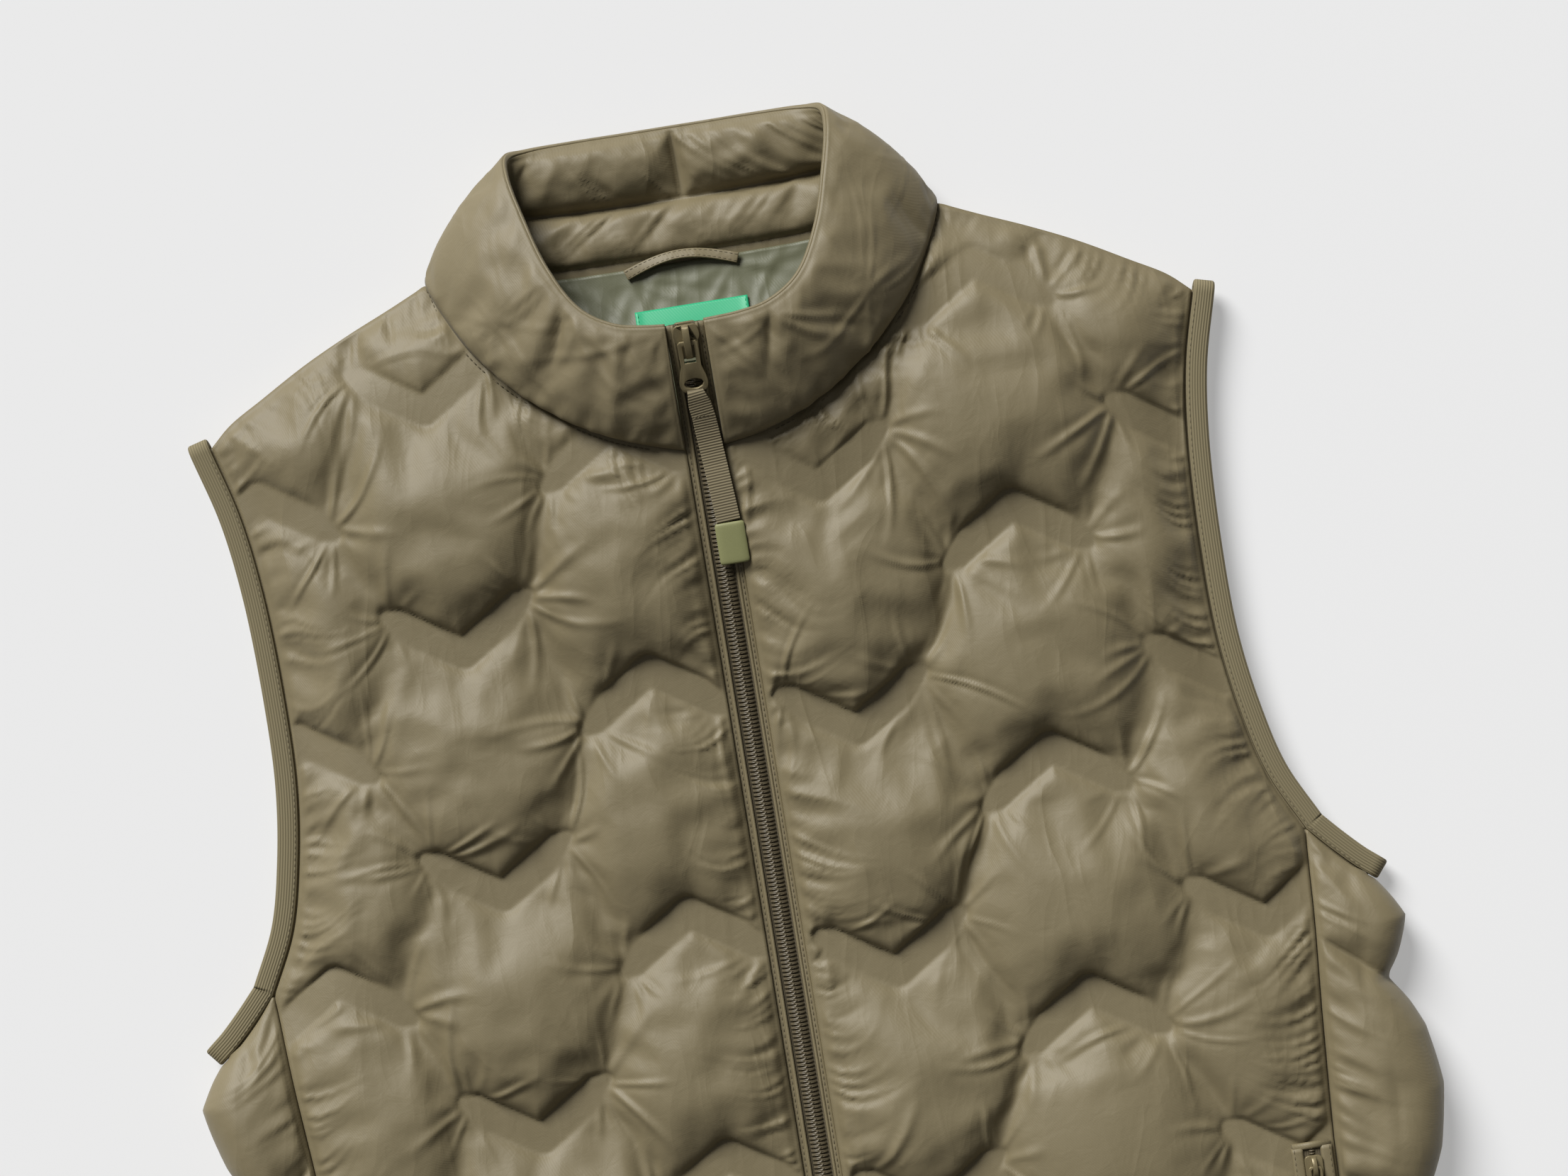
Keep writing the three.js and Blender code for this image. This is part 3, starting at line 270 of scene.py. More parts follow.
def soft_noise(shape: tuple[int, int], cells: tuple[float, float], seed: int) -> np.ndarray:
    """Smooth noise on a grid: random values on a coarse grid, spread by cubic interpolation.

    Args:
        shape: rows and columns to return.
        cells: how many coarse cells there are along the rows and columns.
        seed: the random seed.

    Returns:
        Values of about -1 to 1.
    """
    coarse = np.random.default_rng(seed).uniform(-1, 1, (int(cells[0]) + 2, int(cells[1]) + 2))
    return spread(spread(coarse, shape[0]).T, shape[1]).T


def spread(values: np.ndarray, count: int) -> np.ndarray:
    """Resamples an array along its first axis by Catmull-Rom interpolation, carried on straight at its ends.

    Args:
        values: the array.
        count: how many rows to return.

    Returns:
        The resampled array.
    """
    padded = np.concatenate([2 * values[:1] - values[1:2], values, 2 * values[-1:] - values[-2:-1]])
    at = np.linspace(0, len(values) - 1, count)
    cell = np.minimum(at.astype(int), len(values) - 2)
    t = (at - cell).reshape(-1, *[1] * (values.ndim - 1))
    a, b, c, d = (padded[cell + k] for k in range(4))
    return b + 0.5 * t * (c - a + t * (2 * a - 5 * b + 4 * c - d + t * (3 * (b - c) + d - a)))


def streaks(shape: tuple[int, int], edge: np.ndarray, seed: int) -> np.ndarray:
    """Long soft ripples on a grid: along its rows' direction, but square to its sides near them.

    Each is noise with cells of 16 grid steps by 2.5.

    Args:
        shape: rows and columns.
        edge: each point's distance to the sides, in millimetres.
        seed: the random seed.

    Returns:
        Values of about -1 to 1.
    """
    upright = soft_noise(shape, (shape[0] / 16, shape[1] / 2.5), seed)
    level = soft_noise(shape, (shape[0] / 2.5, shape[1] / 16), seed + 50)
    side = np.exp(-((edge / 18) ** 2))
    return upright * (1 - side) + level * side


def finer(grid: np.ndarray, factor: int) -> np.ndarray:
    """A grid with `factor` cells for each of its cells, by cubic interpolation both ways."""
    rows, columns = ((n - 1) * factor + 1 for n in grid.shape[:2])
    return spread(spread(grid, rows).swapaxes(0, 1), columns).swapaxes(0, 1)


def softened(grid: np.ndarray, passes: int = 1) -> np.ndarray:
    """Averages each point with its neighbours, 1-2-1 both ways, and keeps the rim."""
    for _ in range(passes):
        inside = (grid[:-2] + 2 * grid[1:-1] + grid[2:]) / 4
        grid = np.concatenate([grid[:1], inside, grid[-1:]])
        inside = (grid[:, :-2] + 2 * grid[:, 1:-1] + grid[:, 2:]) / 4
        grid = np.concatenate([grid[:, :1], inside, grid[:, -1:]], axis=1)
    return grid


def normals_of(grid: np.ndarray) -> np.ndarray:
    """Unit normals of a grid surface: the cross product of its two directions."""
    across, along = np.gradient(grid, axis=1), np.gradient(grid, axis=0)
    cross = np.cross(across, along)
    return cross / np.maximum(np.linalg.norm(cross, axis=-1, keepdims=True), 1e-9)


def near(distance: np.ndarray) -> np.ndarray:
    """How far a membrane is from the lines that hold it: 0 on them, and 1 well away from them."""
    return 1 - np.exp(-np.maximum(distance, 0) / 4)


def fullness(grid: np.ndarray, distance: np.ndarray, sink: np.ndarray | float, sag: float = 0.0,
             rounds: int = 260) -> np.ndarray:
    """Shape of a membrane that is blown up between the lines that hold it, and sags down its rows.

    It solves "minus the Laplacian of u, less sag times its slope up the rows, plus sink times u,
    is 1" with u = 0 on the grid's rim and where the distance is 0 or less, by over-relaxation of
    the even and odd points by turns. The sag makes a steep lower end and a long upper slope. It
    returns u divided by near(distance), both slightly softened, which is smooth right up to those
    lines and can be interpolated without blurring them.

    Args:
        grid: the surface's points, in millimetres.
        distance: each point's distance to the nearest line that holds it.
        sink: how strongly the membrane is drawn down, by point, in 1/mm2.
        sag: how strongly the filling sinks towards the first row, in 1/mm.
        rounds: how many times to relax.

    Returns:
        The fullness of each point, in square millimetres.
    """
    du, dv = (np.linalg.norm(np.diff(grid, axis=axis), axis=-1) for axis in (1, 0))
    wide = (np.pad(du, ((0, 0), (1, 0)), "edge") + np.pad(du, ((0, 0), (0, 1)), "edge")) / 2
    tall = (np.pad(dv, ((1, 0), (0, 0)), "edge") + np.pad(dv, ((0, 1), (0, 0)), "edge")) / 2
    east = (tall[:, 1:] + tall[:, :-1]) / 2 / du
    north = (wide[1:] + wide[:-1]) / 2 / dv
    area = (wide * tall)[1:-1, 1:-1]
    pull = area * np.broadcast_to(sink, grid.shape[:2])[1:-1, 1:-1]
    left, right, down, up = east[1:-1, :-1], east[1:-1, 1:], north[:-1, 1:-1], north[1:, 1:-1]
    up = up + sag * wide[1:-1, 1:-1]
    total = left + right + down + up + pull
    odd = np.add.outer(np.arange(area.shape[0]), np.arange(area.shape[1])) % 2
    steps = [1.9 * ((distance[1:-1, 1:-1] > 0) & (odd == turn)) for turn in (0, 1)]
    u = np.zeros(grid.shape[:2])
    for _ in range(rounds):
        for step in steps:
            flow = left * u[1:-1, :-2] + right * u[1:-1, 2:] + down * u[:-2, 1:-1] + up * u[2:, 1:-1]
            u[1:-1, 1:-1] += step * ((flow + area) / total - u[1:-1, 1:-1])
    return softened(u, 2) / np.maximum(softened(near(distance), 2), 0.02)


@dataclass
class Surface:
    """Points and faces of one piece, with a UV for each point, in millimetres."""

    points: np.ndarray
    quads: np.ndarray = field(default_factory=lambda: np.zeros((0, 4), int))
    triangles: np.ndarray = field(default_factory=lambda: np.zeros((0, 3), int))
    uv: np.ndarray | None = None

    @staticmethod
    def joined(parts: Sequence["Surface"]) -> "Surface":
        """Several surfaces as one, with their indices carried on."""
        starts = np.cumsum([0] + [len(part.points) for part in parts[:-1]])
        has_uv = all(part.uv is not None for part in parts)
        return Surface(
            np.vstack([part.points for part in parts]),
            np.vstack([part.quads + start for part, start in zip(parts, starts)]),
            np.vstack([part.triangles + start for part, start in zip(parts, starts)]),
            np.vstack([part.uv for part in parts]) if has_uv else None,
        )


def grid_quads(rows: int, columns: int, first: int = 0) -> np.ndarray:
    """Faces of a grid of points stored row by row, from a first index on."""
    index = first + np.arange(rows * columns).reshape(rows, columns)
    corners = (index[:-1, :-1], index[:-1, 1:], index[1:, 1:], index[1:, :-1])
    return np.stack(corners, axis=-1).reshape(-1, 4)


def crossed_triangles(rows: int, columns: int) -> np.ndarray:
    """A grid's cells split into triangles, along one diagonal and the other by turns."""
    a, b, c, d = grid_quads(rows, columns).T
    turn = np.add.outer(np.arange(rows - 1), np.arange(columns - 1)).ravel() % 2 == 0
    one = np.where(turn[:, None], np.stack([a, b, c], 1), np.stack([a, b, d], 1))
    two = np.where(turn[:, None], np.stack([a, c, d], 1), np.stack([b, c, d], 1))
    return np.vstack([one, two])


def rim_of(rows: int, columns: int, first: int = 0) -> np.ndarray:
    """Indices round a grid's rim, anticlockwise from its first point."""
    index = first + np.arange(rows * columns).reshape(rows, columns)
    return np.concatenate([index[0, :-1], index[:-1, -1], index[-1, :0:-1], index[:0:-1, 0]])


def wall(outer: np.ndarray, inner: np.ndarray) -> Surface:
    """A closed wall: a fine outer grid over a coarser inner grid, joined round their rims.

    The inner grid has one cell for every k by k cells of the outer one. Each inner rim edge is
    joined to its k outer edges by a fan from its near end and a fan from its far end.

    Args:
        outer: the outer skin, whose normals point outwards.
        inner: the inner skin, with the same directions.

    Returns:
        The closed surface.
    """
    (rows, columns), (low_rows, low_columns) = outer.shape[:2], inner.shape[:2]
    step = (rows - 1) // (low_rows - 1)
    first = rows * columns
    out_rim, in_rim = rim_of(rows, columns), rim_of(low_rows, low_columns, first)
    i, j, half = np.arange(len(out_rim)), np.arange(len(in_rim)), -(-step // 2)
    apex = in_rim[(i // step + (i % step >= half)) % len(in_rim)]
    fans = np.stack([np.roll(out_rim, -1), out_rim, apex], axis=1)
    joins = np.stack([in_rim, np.roll(in_rim, -1), out_rim[(j * step + half) % len(out_rim)]], axis=1)
    quads = [grid_quads(rows, columns), grid_quads(low_rows, low_columns, first)[:, ::-1]]
    points = np.vstack([outer.reshape(-1, 3), inner.reshape(-1, 3)])
    return Surface(points, np.vstack(quads), np.vstack([fans, joins]))


def sweep(path: np.ndarray, across: np.ndarray, through: np.ndarray, profile: np.ndarray,
          closed: bool = False) -> Surface:
    """A section carried along a path: path + across * profile x + through * profile y.

    Args:
        path: points along the path.
        across: the section's x direction at each point.
        through: the section's y direction at each point.
        profile: the section's outline, anticlockwise, or one outline for each point.
        closed: whether the path's end meets its start. Otherwise the ends are capped.

    Returns:
        The closed surface, with u round the section and v along the path in millimetres.
    """
    outline = np.broadcast_to(profile, (len(path), *profile.shape[-2:]))
    points = path[:, None] + across[:, None] * outline[..., :1] + through[:, None] * outline[..., 1:]
    rows, count = points.shape[:2]
    index = np.arange(rows * count).reshape(rows, count)
    if closed:
        index = np.vstack([index, index[:1]])
    low, high = index[:-1], index[1:]
    quads = np.stack([low, np.roll(low, -1, 1), np.roll(high, -1, 1), high], axis=-1).reshape(-1, 4)
    triangles = np.zeros((0, 3), int)
    if not closed:
        fan = np.arange(1, count - 1)
        start = np.stack([fan * 0, fan + 1, fan], axis=1)
        triangles = np.vstack([start, (rows - 1) * count + start[:, ::-1]])
    round_it = np.cumsum(np.linalg.norm(np.diff(outline[0], axis=0, prepend=outline[0][:1]), axis=1))
    length = np.cumsum(np.linalg.norm(np.diff(path, axis=0, prepend=path[:1]), axis=1))
    uv = np.stack(np.broadcast_arrays(round_it[None], length[:, None]), axis=-1).reshape(-1, 2)
    return outwards(Surface(points.reshape(-1, 3), quads, triangles, uv))


def outwards(surface: Surface) -> Surface:
    """Turns a closed surface's faces outwards, by the sign of the volume that they enclose."""
    fans = [surface.triangles, surface.quads[:, :3], surface.quads[:, [0, 2, 3]]]
    a, b, c = (surface.points[np.vstack(fans)[:, k]] for k in range(3))
    if (a * np.cross(b, c)).sum() < 0:
        surface.quads, surface.triangles = surface.quads[:, ::-1], surface.triangles[:, ::-1]
    return surface


def rounded_section(width: float, height: float, radius: float, steps: int = 3) -> np.ndarray:
    """A rectangle's outline with round corners, anticlockwise about its middle."""
    turns = np.linspace(0, np.pi / 2, steps + 1)
    corners = []
    for quarter, (sx, sy) in enumerate(((1, 1), (-1, 1), (-1, -1), (1, -1))):
        angle = turns + quarter * np.pi / 2
        middle = np.array([sx * (width / 2 - radius), sy * (height / 2 - radius)])
        corners.append(middle + radius * np.stack([np.cos(angle), np.sin(angle)], axis=1))
    return np.vstack(corners)


@dataclass(frozen=True)
class Placement:
    """Where the garment's own frame lies in the row's frame, in millimetres."""

    x: float
    y: float

    @classmethod
    def from_frame(cls) -> "Placement":
        """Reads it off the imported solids: the zip's chain gives x and the hem gives y."""
        chain_low, chain_high = (np.array(corner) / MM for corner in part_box("zip_chain"))
        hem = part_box("front_left")[0][1] / MM
        return cls((chain_low[0] + chain_high[0]) / 2 - Pattern.zip_x, hem - Pattern.hem_y)

    def to_row(self, points: np.ndarray) -> np.ndarray:
        """Points of the garment's frame in the row's frame, in metres."""
        return (points + np.array([self.x, self.y, 0])) * MM

    def to_garment(self, points: np.ndarray) -> np.ndarray:
        """Points of the row's frame, in metres, in the garment's frame."""
        return np.asarray(points) / MM - np.array([self.x, self.y, 0])


def put_mesh(name: str, surface: Surface, place: Placement, material, smooth: bool = True):
    """Makes a Blender object from a surface, with its place in its mesh.

    Args:
        name: the piece's name.
        surface: the piece, in the garment's frame.
        place: where that frame lies.
        material: its material.
        smooth: whether it is shaded smooth.

    Returns:
        The object, linked into the scene.
    """
    mesh = bpy.data.meshes.new(name)
    faces = surface.quads.tolist() + surface.triangles.tolist()
    mesh.from_pydata(place.to_row(surface.points).tolist(), [], faces)
    if surface.uv is not None:
        corners = np.empty(len(mesh.loops), dtype=np.int32)
        mesh.loops.foreach_get("vertex_index", corners)
        layer = mesh.uv_layers.new(name="UVMap")
        layer.data.foreach_set("uv", (surface.uv[corners] * MM).astype(np.float32).ravel())
    mesh.polygons.foreach_set("use_smooth", np.full(len(mesh.polygons), smooth))
    mesh.materials.append(material)
    mesh.update()
    piece = bpy.data.objects.new(name, mesh)
    bpy.context.scene.collection.objects.link(piece)
    return piece


@dataclass(frozen=True)
class Inflation:
    """How a padded skin is blown up by the cloth simulation."""

    pressure: float = 4.0
    growth: float = 0.025
    gathered: float = 0.14
    stiffness: float = 18.0
    bending: float = 5.0
    frames: int = 20

    def run(self, start: np.ndarray, pinned: np.ndarray, gather: np.ndarray, cap: float) -> np.ndarray:
        """Blows up a grid with Blender's cloth, gravity off, and returns where its points went.

        The cells are split along alternate diagonals, so that no direction creases more easily.

        Args:
            start: the grid at the start, in millimetres, with its faces' normals outwards.
            pinned: which points stay where they are.
            gather: from 0 to 1, how far the cloth's growth goes from `growth` to `gathered`.
            cap: how far a point may move, in millimetres.

        Returns:
            The grid after the last frame.
        """
        rows, columns = start.shape[:2]
        mesh = bpy.data.meshes.new("skin")
        mesh.from_pydata((start * MM).reshape(-1, 3).tolist(), [], crossed_triangles(rows, columns).tolist())
        skin = bpy.data.objects.new("skin", mesh)
        scene = bpy.context.scene
        scene.collection.objects.link(skin)
        held = skin.vertex_groups.new(name="held")
        held.add(np.flatnonzero(pinned.ravel()).tolist(), 1.0, "REPLACE")
        gathers = skin.vertex_groups.new(name="gathers")
        levels = np.round(gather.ravel() * 8).astype(int)
        for level in range(9):
            gathers.add(np.flatnonzero(levels == level).tolist(), level / 8, "REPLACE")
        cloth = skin.modifiers.new("cloth", "CLOTH")
        settings = cloth.settings
        settings.quality = 4
        settings.mass = 0.3
        settings.vertex_group_mass = held.name
        settings.tension_stiffness = settings.compression_stiffness = self.stiffness
        settings.shear_stiffness = self.stiffness / 3
        settings.bending_stiffness = self.bending
        settings.use_pressure = True
        settings.uniform_pressure_force = self.pressure
        settings.vertex_group_shrink = gathers.name
        settings.shrink_min, settings.shrink_max = -self.growth, -self.gathered
        settings.effector_weights.gravity = 0
        cloth.point_cache.frame_start, cloth.point_cache.frame_end = 1, self.frames
        for frame in range(1, self.frames + 1):
            scene.frame_set(frame)
        settled = skin.evaluated_get(bpy.context.evaluated_depsgraph_get())
        flat = np.empty(rows * columns * 3)
        settled.data.vertices.foreach_get("co", flat)
        scene.frame_set(1)
        bpy.data.objects.remove(skin)
        bpy.data.meshes.remove(mesh)
        moved = flat.reshape(rows, columns, 3) / MM - start
        far = np.linalg.norm(moved, axis=-1, keepdims=True)
        return start + moved * np.minimum(1, cap / np.maximum(far, 1e-6))


@dataclass(frozen=True)
class Folds:
    """Straight little folds that run out in all directions from points where the cloth is held."""

    count: int = 9
    length: float = 35.0
    width: float = 2.9
    depth: float = 1.7

    def around(self, places: np.ndarray, spots: np.ndarray, seed: int) -> np.ndarray:
        """Height of all the folds.

        A fold's section is (1 - 2b squared) times the exponential of minus b to the power 1.6, with
        b the distance from its line in widths; its height rises as the 0.6th power of the way
        along it and falls off to nothing at its end.

        Args:
            places: the grid, whose last axis starts with x and y.
            spots: the points that hold the cloth.
            seed: the random seed.

        Returns:
            The heights, in millimetres.
        """
        rng = np.random.default_rng(seed)
        flat = places[..., :2].reshape(-1, 2)
        height = np.zeros(len(flat))
        for spot in spots:
            close = np.flatnonzero(np.abs(flat - spot).max(1) < 1.6 * self.length)
            offset = flat[close] - spot
            turns = (np.arange(self.count) + rng.uniform(-0.35, 0.35, self.count)) * 2 * np.pi / self.count
            sizes = rng.uniform([0.5, 0.6, 0.4, -0.012], [1.5, 1.3, 1.2, 0.012], (self.count, 4))
            for turn, (long, wide, deep, bend) in zip(turns, sizes):
                share = (offset @ [math.cos(turn), math.sin(turn)]) / (long * self.length)
                beside = offset @ [-math.sin(turn), math.cos(turn)] + bend * (share * long * self.length) ** 2
                b = np.abs(beside) / (wide * self.width * (0.5 + 0.8 * np.clip(share, 0, 1)))
                inside = np.clip(share, 0, 1)
                envelope = 2 * inside**0.6 * (1 - inside) ** 1.2
                height[close] += self.depth * deep * (1 - 2 * b**2) * np.exp(-(b**1.6)) * envelope
        return height.reshape(places.shape[:-1])


@dataclass(frozen=True)
class Padding:
    """Turns a flat skin into a padded one: a blown-up membrane that the cloth then wrinkles."""

    height: float = 0.215
    lean: float = 0.28
    softness: float = 8.0
    power: float = 0.68
    sag: float = 0.05
    noise: float = 1.0
    cap: float = 12.0
    blow: Inflation = Inflation()

    def rise(self, full: np.ndarray, distance: np.ndarray) -> np.ndarray:
        """Height over the flat skin: a power of twice the membrane, rounded where it starts.

        It is the softness times ((membrane / softness squared + 1) to the power, less 1), by the height.
        """
        membrane = 2 * np.maximum(full, 0) * near(distance) / self.softness**2
        return self.height * self.softness * ((membrane + 1) ** self.power - 1)

    def skin(self, flat: Callable[[int], tuple[np.ndarray, np.ndarray, np.ndarray]], sink: np.ndarray | float,
             loose: np.ndarray, ripple: np.ndarray, facing: int, folds: np.ndarray | float = 0.0,
             detail: int = 2) -> np.ndarray:
        """Pads a skin.

        The finer skin is the padded shape at its own points plus the interpolated movement of the
        cloth, which fades to nothing within a few millimetres of the lines that hold it.

        Args:
            flat: gives the flat points, the outward normals and the distance to the nearest line
                that holds the skin, on the grid that is this many times finer.
            sink: how strongly creases draw the membrane down.
            loose: from 0 to 1, where the cloth is gathered.
            ripple: from -1 to 1, the first ripples, which the cloth's wrinkles grow from.
            facing: 1 where the grid's own normals point outwards, otherwise -1.
            folds: height of the small folds on the finer skin.
            detail: how many times finer the result is.

        Returns:
            The finer padded skin.
        """
        points, normals, distance = flat(1)
        full = fullness(points, distance, sink, self.sag)
        down = np.array([0, -self.lean, 0])
        puffed = points + (normals + down) * self.rise(full, distance)[..., None]
        start = puffed + normals * (self.noise * ripple * near(distance - 1))[..., None]
        turn = slice(None, None, facing)
        held = distance <= 0.4
        held[[0, -1]] = held[:, [0, -1]] = True
        blown = self.blow.run(start[:, turn], held[:, turn], loose[:, turn], self.cap)[:, turn]
        moved = finer(softened(blown - puffed, 1), detail)
        points, normals, distance = flat(detail)
        puffed = points + (normals + down) * self.rise(finer(full, detail), distance)[..., None]
        puffed = puffed + normals * (folds * near(distance - 0.5))[..., None]
        return puffed + moved * (1 - np.exp(-(np.maximum(distance, 0) / 2.2) ** 1.5))[..., None]


# The garment's pattern: outlines, heights and quilting, shared by all its pieces.


@dataclass(frozen=True)
class Pattern:
    """Outlines of the cut pieces and the heights of the two layers, in millimetres."""

    hem_y: float = -575
    zip_x: float = -4
    panel_edge: float = 9
    seam_gap: float = 0.3
    neck_gap: float = 0.8
    seam_half: float = 2
    back_top: float = 18
    back_edge: float = 6
    front_flat: float = 21
    front_edge: float = 12.5
    shoulder_edge: float = 11.2
    neck_rise: float = 15
    puff_height: float = 15
    row_pitch: float = 116
    band_half_span: float = 32
    band_rise: float = 21
    band_half_width: float = 7.5
    band_taper: float = 12
    collar_top_y: float = 153

    # Middles of the zigzag bands' columns: x, y of the first row, and 1 for a peak or -1 for a valley.
    columns = ((-217, -106, 1), (-132, -79, -1), (-47, -100, 1), (46, -144, -1), (134, -166, 1), (222, -148, -1))
    neckline = ((25, 3.5), (47, 12), (76, 31), (101, 56), (115, 80), (121, 98))
    shoulder = ((121, 98), (142, 89), (163, 80), (186, 69), (209, 56), (226, 46), (236, 37))
    armhole = ((248, -225), (234, -196), (226, -164), (221, -128), (220, -87), (222, -35), (227, 3), (236, 37))
    side_seam = ((235, -575), (235, -450), (237, -370), (241, -310), (245, -262), (248, -225))
    underarm = ((248, -225), (258, -236), (268, -246), (274, -251))
    back_neck = ((121, 98), (100, 94.5), (66, 90.5), (33, 89.5), (0, 89.5))

    def both(self, rows: Sequence[Sequence[float]], count: int = 60) -> list[np.ndarray]:
        """A half outline as curves on the wearer's left and right."""
        curve = curve_through(rows, count)
        return [curve, curve * [-1, 1]]

    def nearest(self, places: np.ndarray, *outlines: Sequence[Sequence[float]]) -> np.ndarray:
        """Distance in plan to the nearest of some half outlines, on either side."""
        folded = np.stack([np.abs(places[..., 0]), places[..., 1]], axis=-1)
        return np.min([distance_to(folded, curve_through(rows, 60)) for rows in outlines], axis=0)

    def front_level(self, places: np.ndarray) -> np.ndarray:
        """Height of the middle of the front wall before its puffs are raised."""
        x, y = places[..., 0], places[..., 1]
        down = np.where(y < 5, 85, 95)
        flat = self.front_flat + self.neck_rise * np.exp(-((x / 112) ** 2) - ((y - 5) / down) ** 2)
        shoulder = self.nearest(places, self.shoulder)
        armhole = self.nearest(places, self.armhole, self.underarm)
        edge = soft_least(shoulder, armhole, np.abs(y - self.hem_y))
        at_edge = self.front_edge + (self.shoulder_edge - self.front_edge) * np.exp(-((shoulder / 25) ** 2))
        return flat - (flat - at_edge) * np.exp(-((edge / 22) ** 2))

    def back_height(self, places: np.ndarray) -> np.ndarray:
        """Height of the back panel's top side."""
        edge = self.nearest(places, self.shoulder, self.armhole, self.side_seam, self.back_neck)
        edge = np.minimum(edge, np.abs(places[..., 1] - self.hem_y))
        rim = self.back_edge + self.seam_half
        return self.back_top - (self.back_top - rim) * np.exp(-((edge / 34) ** 2))

    def band_distance(self, places: np.ndarray) -> np.ndarray:
        """Distance in plan to the nearest bonded zigzag band; inside a band it is below 0."""
        x, y = places[..., 0], places[..., 1]
        nearest = np.full(x.shape, 1e9)
        for column_x, column_y, peak in self.columns:
            row = np.round((y - column_y) / self.row_pitch)
            for step in (-1, 0, 1):
                local = np.stack([np.abs(x - column_x), y - column_y - (row + step) * self.row_pitch], axis=-1)
                arm = np.array([[0, 0], [self.band_half_span, -peak * self.band_rise]], float)
                reach = (self.band_half_span + 6 - local[..., 0]) / self.band_taper
                half = self.band_half_width * np.clip(reach, 0, 1) ** 0.7
                nearest = np.minimum(nearest, distance_to(local, arm * 1.12) - half)
        return nearest

    def band_ends(self) -> np.ndarray:
        """The ends of the bands, which hold the cloth and which folds run out from."""
        columns, rows = np.array(self.columns, float), np.arange(-5, 3) * self.row_pitch
        x = columns[:, :1] + np.array([[-1, 1]]) * self.band_half_span
        y = columns[:, 1] - columns[:, 2] * self.band_rise
        ends = np.stack(np.broadcast_arrays(x[:, :, None], (y[:, None] + rows)[:, None, :]), axis=-1)
        return ends.reshape(-1, 2)

    def crease_distance(self, places: np.ndarray) -> np.ndarray:
        """Distance in plan to the creases, which link the band ends of neighbouring columns."""
        nearest = np.full(places.shape[:-1], 1e9)
        for (x0, y0, peak0), (x1, y1, peak1) in zip(self.columns, self.columns[1:]):
            if x0 * x1 < 0:
                continue
            ends = []
            for row in range(-5, 3):
                ends.append((x0 + self.band_half_span, y0 - peak0 * self.band_rise + row * self.row_pitch))
                ends.append((x1 - self.band_half_span, y1 - peak1 * self.band_rise + row * self.row_pitch))
            chain = np.array(sorted(ends, key=lambda end: end[1]), float)
            nearest = np.minimum(nearest, distance_to(places, chain))
        return nearest

    def pocket_x(self, y: np.ndarray) -> np.ndarray:
        """The middle of the left pocket opening, which runs beside the side seam."""
        seam = np.array(self.side_seam)
        return np.interp(y, seam[:, 1], seam[:, 0]) - Pockets.inset - Pockets.width / 2

    def zip_heights(self, y: np.ndarray) -> np.ndarray:
        """Height of the zip's middle surface: up the front, then straight up the collar."""
        y = np.asarray(y, float)
        front = self.front_level(np.stack([np.full(y.shape, self.zip_x), np.minimum(y, 0)], axis=-1))
        neck = self.front_level(np.array([[self.zip_x, 0.0]]))[0]
        return np.where(y <= 0, front, neck + (Collar.top_z - neck) * y / Collar.top_y)

    def zip_frame(self, y: np.ndarray) -> tuple[np.ndarray, np.ndarray, np.ndarray]:
        """Points on the zip's middle surface with the directions along it and off it.

        The height is the mean of four heights within 9 mm, which rounds the turn at the neck.

        Args:
            y: places along the zip.

        Returns:
            The points, the unit vectors up the zip and the unit vectors off it.
        """
        def rounded(at: np.ndarray) -> np.ndarray:
            return np.mean([self.zip_heights(at + d) for d in (-9, -3, 3, 9)], axis=0)

        y = np.asarray(y, float)
        point = np.stack([np.full(y.shape, self.zip_x), y, rounded(y)], axis=-1)
        slope = (rounded(y + 1) - rounded(y - 1)) / 2
        along = np.stack([np.zeros(y.shape), np.ones(y.shape), slope], axis=-1)
        along /= np.linalg.norm(along, axis=-1, keepdims=True)
        return point, along, np.cross([1.0, 0, 0], along)


# Finishes: what each material really is, and how it was made.


